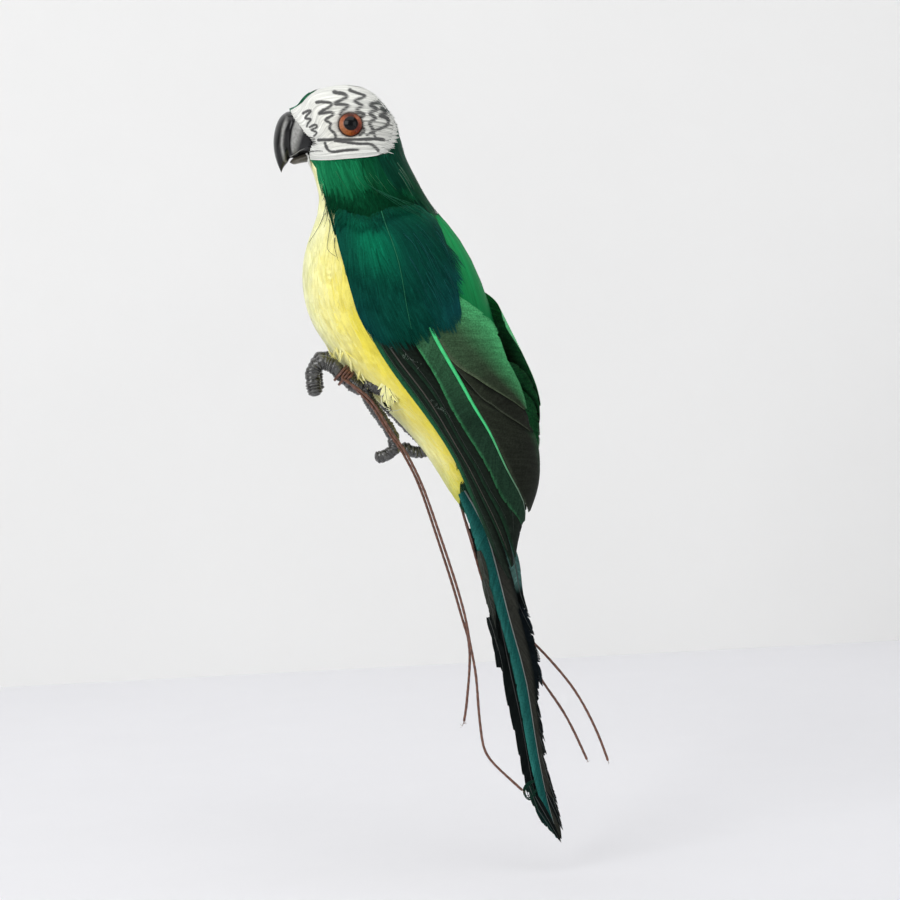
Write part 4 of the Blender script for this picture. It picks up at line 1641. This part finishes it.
def make_foot(name, side, rear):
    """A foot of three wrapped wires: a curled front toe, a rear toe and a short leg."""
    coat = Coat(70 + (side > 0))
    for points, diameter, lean in ((FRONT_TOE, FRONT_TOE_DIAMETER, 0.0), (rear, REAR_TOE_DIAMETER, 0.0),
                                   (LEG, LEG_DIAMETER, LEG_LEAN)):
        outward = np.linspace(0.0, lean * UNIT, len(points))
        wrapped_wire(coat, [(x * UNIT, side * (FOOT_SPREAD + out), z * UNIT)
                            for (x, z), out in zip(points, outward)], diameter)
    finish_piece(coat.object("foot_%s_wrap" % name, [TAPE]), "wrapped_wire", "foot_" + name)


def wire_wrap(side, over):
    """Turns of a tie wire round the front toe; the one over the other starts further out."""
    pitch = TIE_WIRE_DIAMETER + GAP
    axis = np.array(FRONT_TOE[2]) - np.array(FRONT_TOE[3])
    axis = np.array([axis[0], 0.0, axis[1]]) / np.linalg.norm(axis)
    up = np.array([-axis[2], 0.0, axis[0]])
    outward = np.array([0.0, float(side), 0.0])
    radius = FRONT_TOE_DIAMETER / 2 + TIE_WIRE_DIAMETER / 2
    start = np.array([WIRE_WRAP_AT[0] * UNIT, side * FOOT_SPREAD, WIRE_WRAP_AT[1] * UNIT])
    if not over:
        start = start + axis * (WIRE_WRAP_TURNS + WIRE_WRAP_SPACE) * pitch
    rows = []
    for i in range(round(WIRE_WRAP_TURNS * WIRE_WRAP_STEPS) + 1):
        left = WIRE_WRAP_TURNS - i / WIRE_WRAP_STEPS
        slide = (WIRE_WRAP_TURNS - left) * pitch
        ring = outward * math.cos(2 * math.pi * left) + up * math.sin(2 * math.pi * left)
        rows.append(start + axis * slide + ring * radius)
    if over:
        rows.append(rows[-1] + (axis * WIRE_WRAP_SPACE - up * WIRE_WRAP_SPACE + outward) * pitch)
    return rows


def wire_paths():
    """The side, name and run of each tie wire past its turns round the toe."""
    pitch = TIE_WIRE_DIAMETER + GAP
    beside_foot = FOOT_SPREAD + FRONT_TOE_DIAMETER / 2 + GAP + TIE_WIRE_DIAMETER / 2
    for i, key in enumerate("ab"):
        shift = (2 * i - 1) * LEFT_WIRE_STEP
        run = [(x + shift, z) for x, z in LEFT_WIRE_RUN] + LEFT_WIRE_ENDS[key]
        yield i, key, -1, "left", [(x * UNIT, -(beside_foot + i * pitch), z * UNIT) for x, z in run]
        run = [(x * UNIT, beside_foot + out * UNIT + i * pitch, z * UNIT) for x, z, out in RIGHT_WIRE_START]
        run += [(x * UNIT, beside_foot + out * UNIT, z * UNIT) for x, z, out in RIGHT_WIRE_ENDS[key]]
        yield i, key, 1, "right", run


def make_tie_wires():
    """Four paper-wrapped iron wires, two bound to each foot, with frayed paper at their ends."""
    for i, key, side, name, path in wire_paths():
        coat = Coat(80 + 2 * i + (side > 0))
        random = coat.random
        wrap = wire_wrap(side, key == "b")
        route = np.concatenate([wrap[:-1], smooth_path([wrap[-1]] + path, 260)])
        route = smooth_path(route, WIRE_RINGS)
        route = route + 0.00007 * np.stack([smooth_noise(random, WIRE_RINGS, 30) for _ in range(3)], -1)
        turn = (np.arange(WIRE_SIDES) * 2 * math.pi / WIRE_SIDES)[None]
        along = np.linspace(0.0, 1.0, WIRE_RINGS)[:, None]
        twist = np.sin(turn + along * 420.0)
        lumps = 0.03 * smooth_noise(random, WIRE_RINGS, 6)[:, None]
        radius = TIE_WIRE_DIAMETER / 2 * (0.97 + 0.05 * twist + lumps)
        radius[:1] *= 0.6
        radius[-1:] *= 0.7
        shade = srgb(112, 74, 60) * (0.85 + 0.25 * twist[..., None])
        chart = np.stack(np.broadcast_arrays(along * 200.0, turn * 0.2), -1)
        coat.tube(tube_points(route, radius, WIRE_SIDES), shade, chart)
        fray_end(coat, route, (name, key) == ("left", "a"))
        piece = coat.object("wire_%s_%s_paper" % (name, key), [PAPER])
        finish_piece(piece, "brown_wire", "tie_wire_%s_%s" % (name, key))


def fray_end(coat, route, wild):
    """Fibres of torn paper at a wire's end, more and longer on the wild one."""
    random = coat.random
    tip = route[-1]
    heading = route[-1] - route[-4]
    heading /= np.linalg.norm(heading)
    count, sway, longest = (7, 0.8, 0.0035) if wild else (4, 0.35, 0.0018)
    for _ in range(count):
        out = heading + random.normal(size=3) * sway
        reach = random.uniform(0.001, longest)
        fibre = [tip, tip + 0.5 * reach * heading + 0.2 * reach * out,
                 tip + reach * out / np.linalg.norm(out)]
        coat.tube(tube_points(smooth_path(fibre, 6), np.linspace(0.00012, 0.00003, 6), 4), srgb(120, 92, 76))


def make_down():
    """Yellow down over the legs, with a curled strand and a hair. Returns its random source."""
    coat = Coat(90)
    random = coat.random
    for right in (False, True):
        for k in range(9):
            start = (9.0 + 1.5 * (k % 3), 9.0 - 1.2 * (k // 3))
            end = (7.6 + 1.9 * k + random.normal(), -5.4 + 0.6 * random.normal() + 0.5 * k)
            plume(coat, start, end, 6.0 + random.normal(), 20.0 - 0.5 * (k % 3),
                  flat(mix(PALE_YELLOW, DEEP_YELLOW, 0.3 + 0.06 * k)), bow=1.0, right=right, barbs=30,
                  attach=0.55, split=0.5, fray=0.12, cluster=5, clump=0.8, vary=0.04)
    loose_thread(coat, DOWN_CURL, 0.0006, srgb(238, 236, 206), 40)
    loose_thread(coat, DOWN_HAIR, 0.0003, srgb(220, 224, 220))
    finish_piece(coat.object("down_curl", [SOFT_YELLOW]), "yellow_feathers")
    return random


def make_tufts(random):
    """Dark ends of thread at the left foot, and a curled loop near the tail's tip.

    random is the source that the down has drawn from before.
    """
    coat = Coat(91)
    for x, z in ((7.0, -3.4), (8.0, -5.4)):
        for _ in range(5):
            bend = random.normal(size=3) * 0.8
            loose_thread(coat, [(x, -18.6, z), (x + 1.0 + bend[0], -19.4, z - 1.0 + bend[1]),
                                (x + 0.4 + bend[1], -19.0, z - 2.6 + bend[2])], 0.0005, TAIL_BLACK)
    for _ in range(TAIL_LOOP_THREADS):
        a, b = random.normal(size=3), random.normal(size=3)
        loose_thread(coat, [(65.0, -4.6, -178.4 + 0.4 * b[1]),
                            (61.4 + 0.6 * a[0], -5.4, -179.8 + 0.7 * a[1]),
                            (60.4 + 0.5 * b[0], -5.2, -183.4 + 0.7 * b[2]),
                            (62.6 + 0.4 * a[1], -5.0, -186.4 + 0.6 * a[2]),
                            (65.4 + 0.5 * a[2], -4.6, -182.6 + 0.6 * a[0])],
                     0.0005, srgb(18, 46, 36), 30)
    finish_piece(coat.object("dark_tufts", [TAIL_VANE]), "tail_feathers")


def make_specks():
    """Fine scratches and specks of dried glue on the near wing."""
    coat = Coat(92)
    random = coat.random
    for station, degrees, count in SPECKS:
        for _ in range(count):
            along, across, lean = random.normal(size=3)
            t, degree = station + 0.09 * along, degrees + 1.3 * across + 1.4 * along
            long = random.uniform(0.01, 0.07)
            body_thread(coat, [(WING, t, degree, 1.15), (WING, t + long / 2, degree + 0.4 * lean, 1.2),
                               (WING, t + long, degree + 0.9 * lean, 1.15)],
                        0.00014, srgb(104, 118, 108), False, 6)
    finish_piece(coat.object("glue_specks", [PAPER]), "primary_feathers")


def add_camera():
    """The photograph's viewing angle."""
    forward = Vector((0.0, math.cos(CAMERA_ELEVATION), -math.sin(CAMERA_ELEVATION)))
    level = Vector((1.0, 0.0, 0.0))
    above = Vector((0.0, math.sin(CAMERA_ELEVATION), math.cos(CAMERA_ELEVATION)))
    right = level * math.cos(CAMERA_ROLL) - above * math.sin(CAMERA_ROLL)
    up = above * math.cos(CAMERA_ROLL) + level * math.sin(CAMERA_ROLL)
    camera = bpy.data.objects.new("camera", bpy.data.cameras.new("camera"))
    camera.data.lens = CAMERA_LENS
    camera.data.sensor_width = CAMERA_SENSOR
    turn = Matrix((right, up, -forward)).transposed().to_4x4()
    camera.matrix_world = Matrix.Translation(CAMERA_TARGET - forward * CAMERA_DISTANCE) @ turn
    bpy.context.scene.collection.objects.link(camera)
    bpy.context.scene.camera = camera


def add_lights():
    """Three soft lamps and a plain pale sky."""
    for name, place, target, size, power in LIGHTS:
        lamp = bpy.data.lights.new(name, "AREA")
        lamp.shape = "RECTANGLE"
        lamp.size, lamp.size_y = size
        lamp.energy = power
        light = bpy.data.objects.new(name, lamp)
        light.location = place
        light.rotation_euler = (Vector(target) - Vector(place)).to_track_quat("-Z", "Y").to_euler()
        bpy.context.scene.collection.objects.link(light)
    world = bpy.data.worlds.new("studio")
    world.use_nodes = True
    sky = world.node_tree.nodes["Background"]
    sky.inputs["Color"].default_value = SKY_COLOUR
    sky.inputs["Strength"].default_value = SKY_STRENGTH
    bpy.context.scene.world = world
    bpy.context.scene.view_settings.view_transform = "Standard"


def open_from_behind(material):
    """Let a camera behind the sheet see through it, while light meets both of its faces."""
    tree = material.node_tree
    output = next(node for node in tree.nodes if node.type == "OUTPUT_MATERIAL")
    paper = output.inputs["Surface"].links[0].from_socket
    back = add_node(tree, "ShaderNodeNewGeometry").outputs["Backfacing"]
    camera_ray = add_node(tree, "ShaderNodeLightPath").outputs["Is Camera Ray"]
    both = add_node(tree, "ShaderNodeMath", {0: back, 1: camera_ray}, operation="MULTIPLY").outputs[0]
    clear = add_node(tree, "ShaderNodeBsdfTransparent").outputs[0]
    blend = add_node(tree, "ShaderNodeMixShader", {0: both, 1: paper, 2: clear})
    tree.links.new(blend.outputs[0], output.inputs["Surface"])


def add_stage():
    """Pale floor and wall, well behind the bird."""
    edge = STAGE_REACH
    for name, colour, corners in (
            ("floor", FLOOR_COLOUR, [(-edge, -edge, FLOOR_Z), (edge, -edge, FLOOR_Z),
                                     (edge, WALL_Y, FLOOR_Z), (-edge, WALL_Y, FLOOR_Z)]),
            ("wall", WALL_COLOUR, [(-edge, WALL_Y, FLOOR_Z), (edge, WALL_Y, FLOOR_Z),
                                   (edge, WALL_Y, edge), (-edge, WALL_Y, edge)])):
        data = bpy.data.meshes.new(name)
        data.from_pydata(corners, [], [(0, 1, 2, 3)])
        sheet = bpy.data.objects.new(name, data)
        paper = paper_material(name + "_paper", colour)
        if name == "wall":
            open_from_behind(paper)
        data.materials.append(paper)
        bpy.context.scene.collection.objects.link(sheet)


def main():
    make_core()
    make_breast()
    make_nape()
    make_crown()
    make_beak()
    for side, right in (("left", False), ("right", True)):
        make_face(side, right)
        make_eye(side, right)
        make_neck(side, right)
        make_shoulder(side, right)
        make_wing(side, right)
    make_throat_wisps()
    make_mantle()
    make_rump()
    make_tail()
    make_foot("left", -1, LEFT_REAR_TOE)
    make_foot("right", 1, RIGHT_REAR_TOE)
    make_tie_wires()
    make_tufts(make_down())
    make_specks()
    add_camera()
    add_stage()
    add_lights()


main()
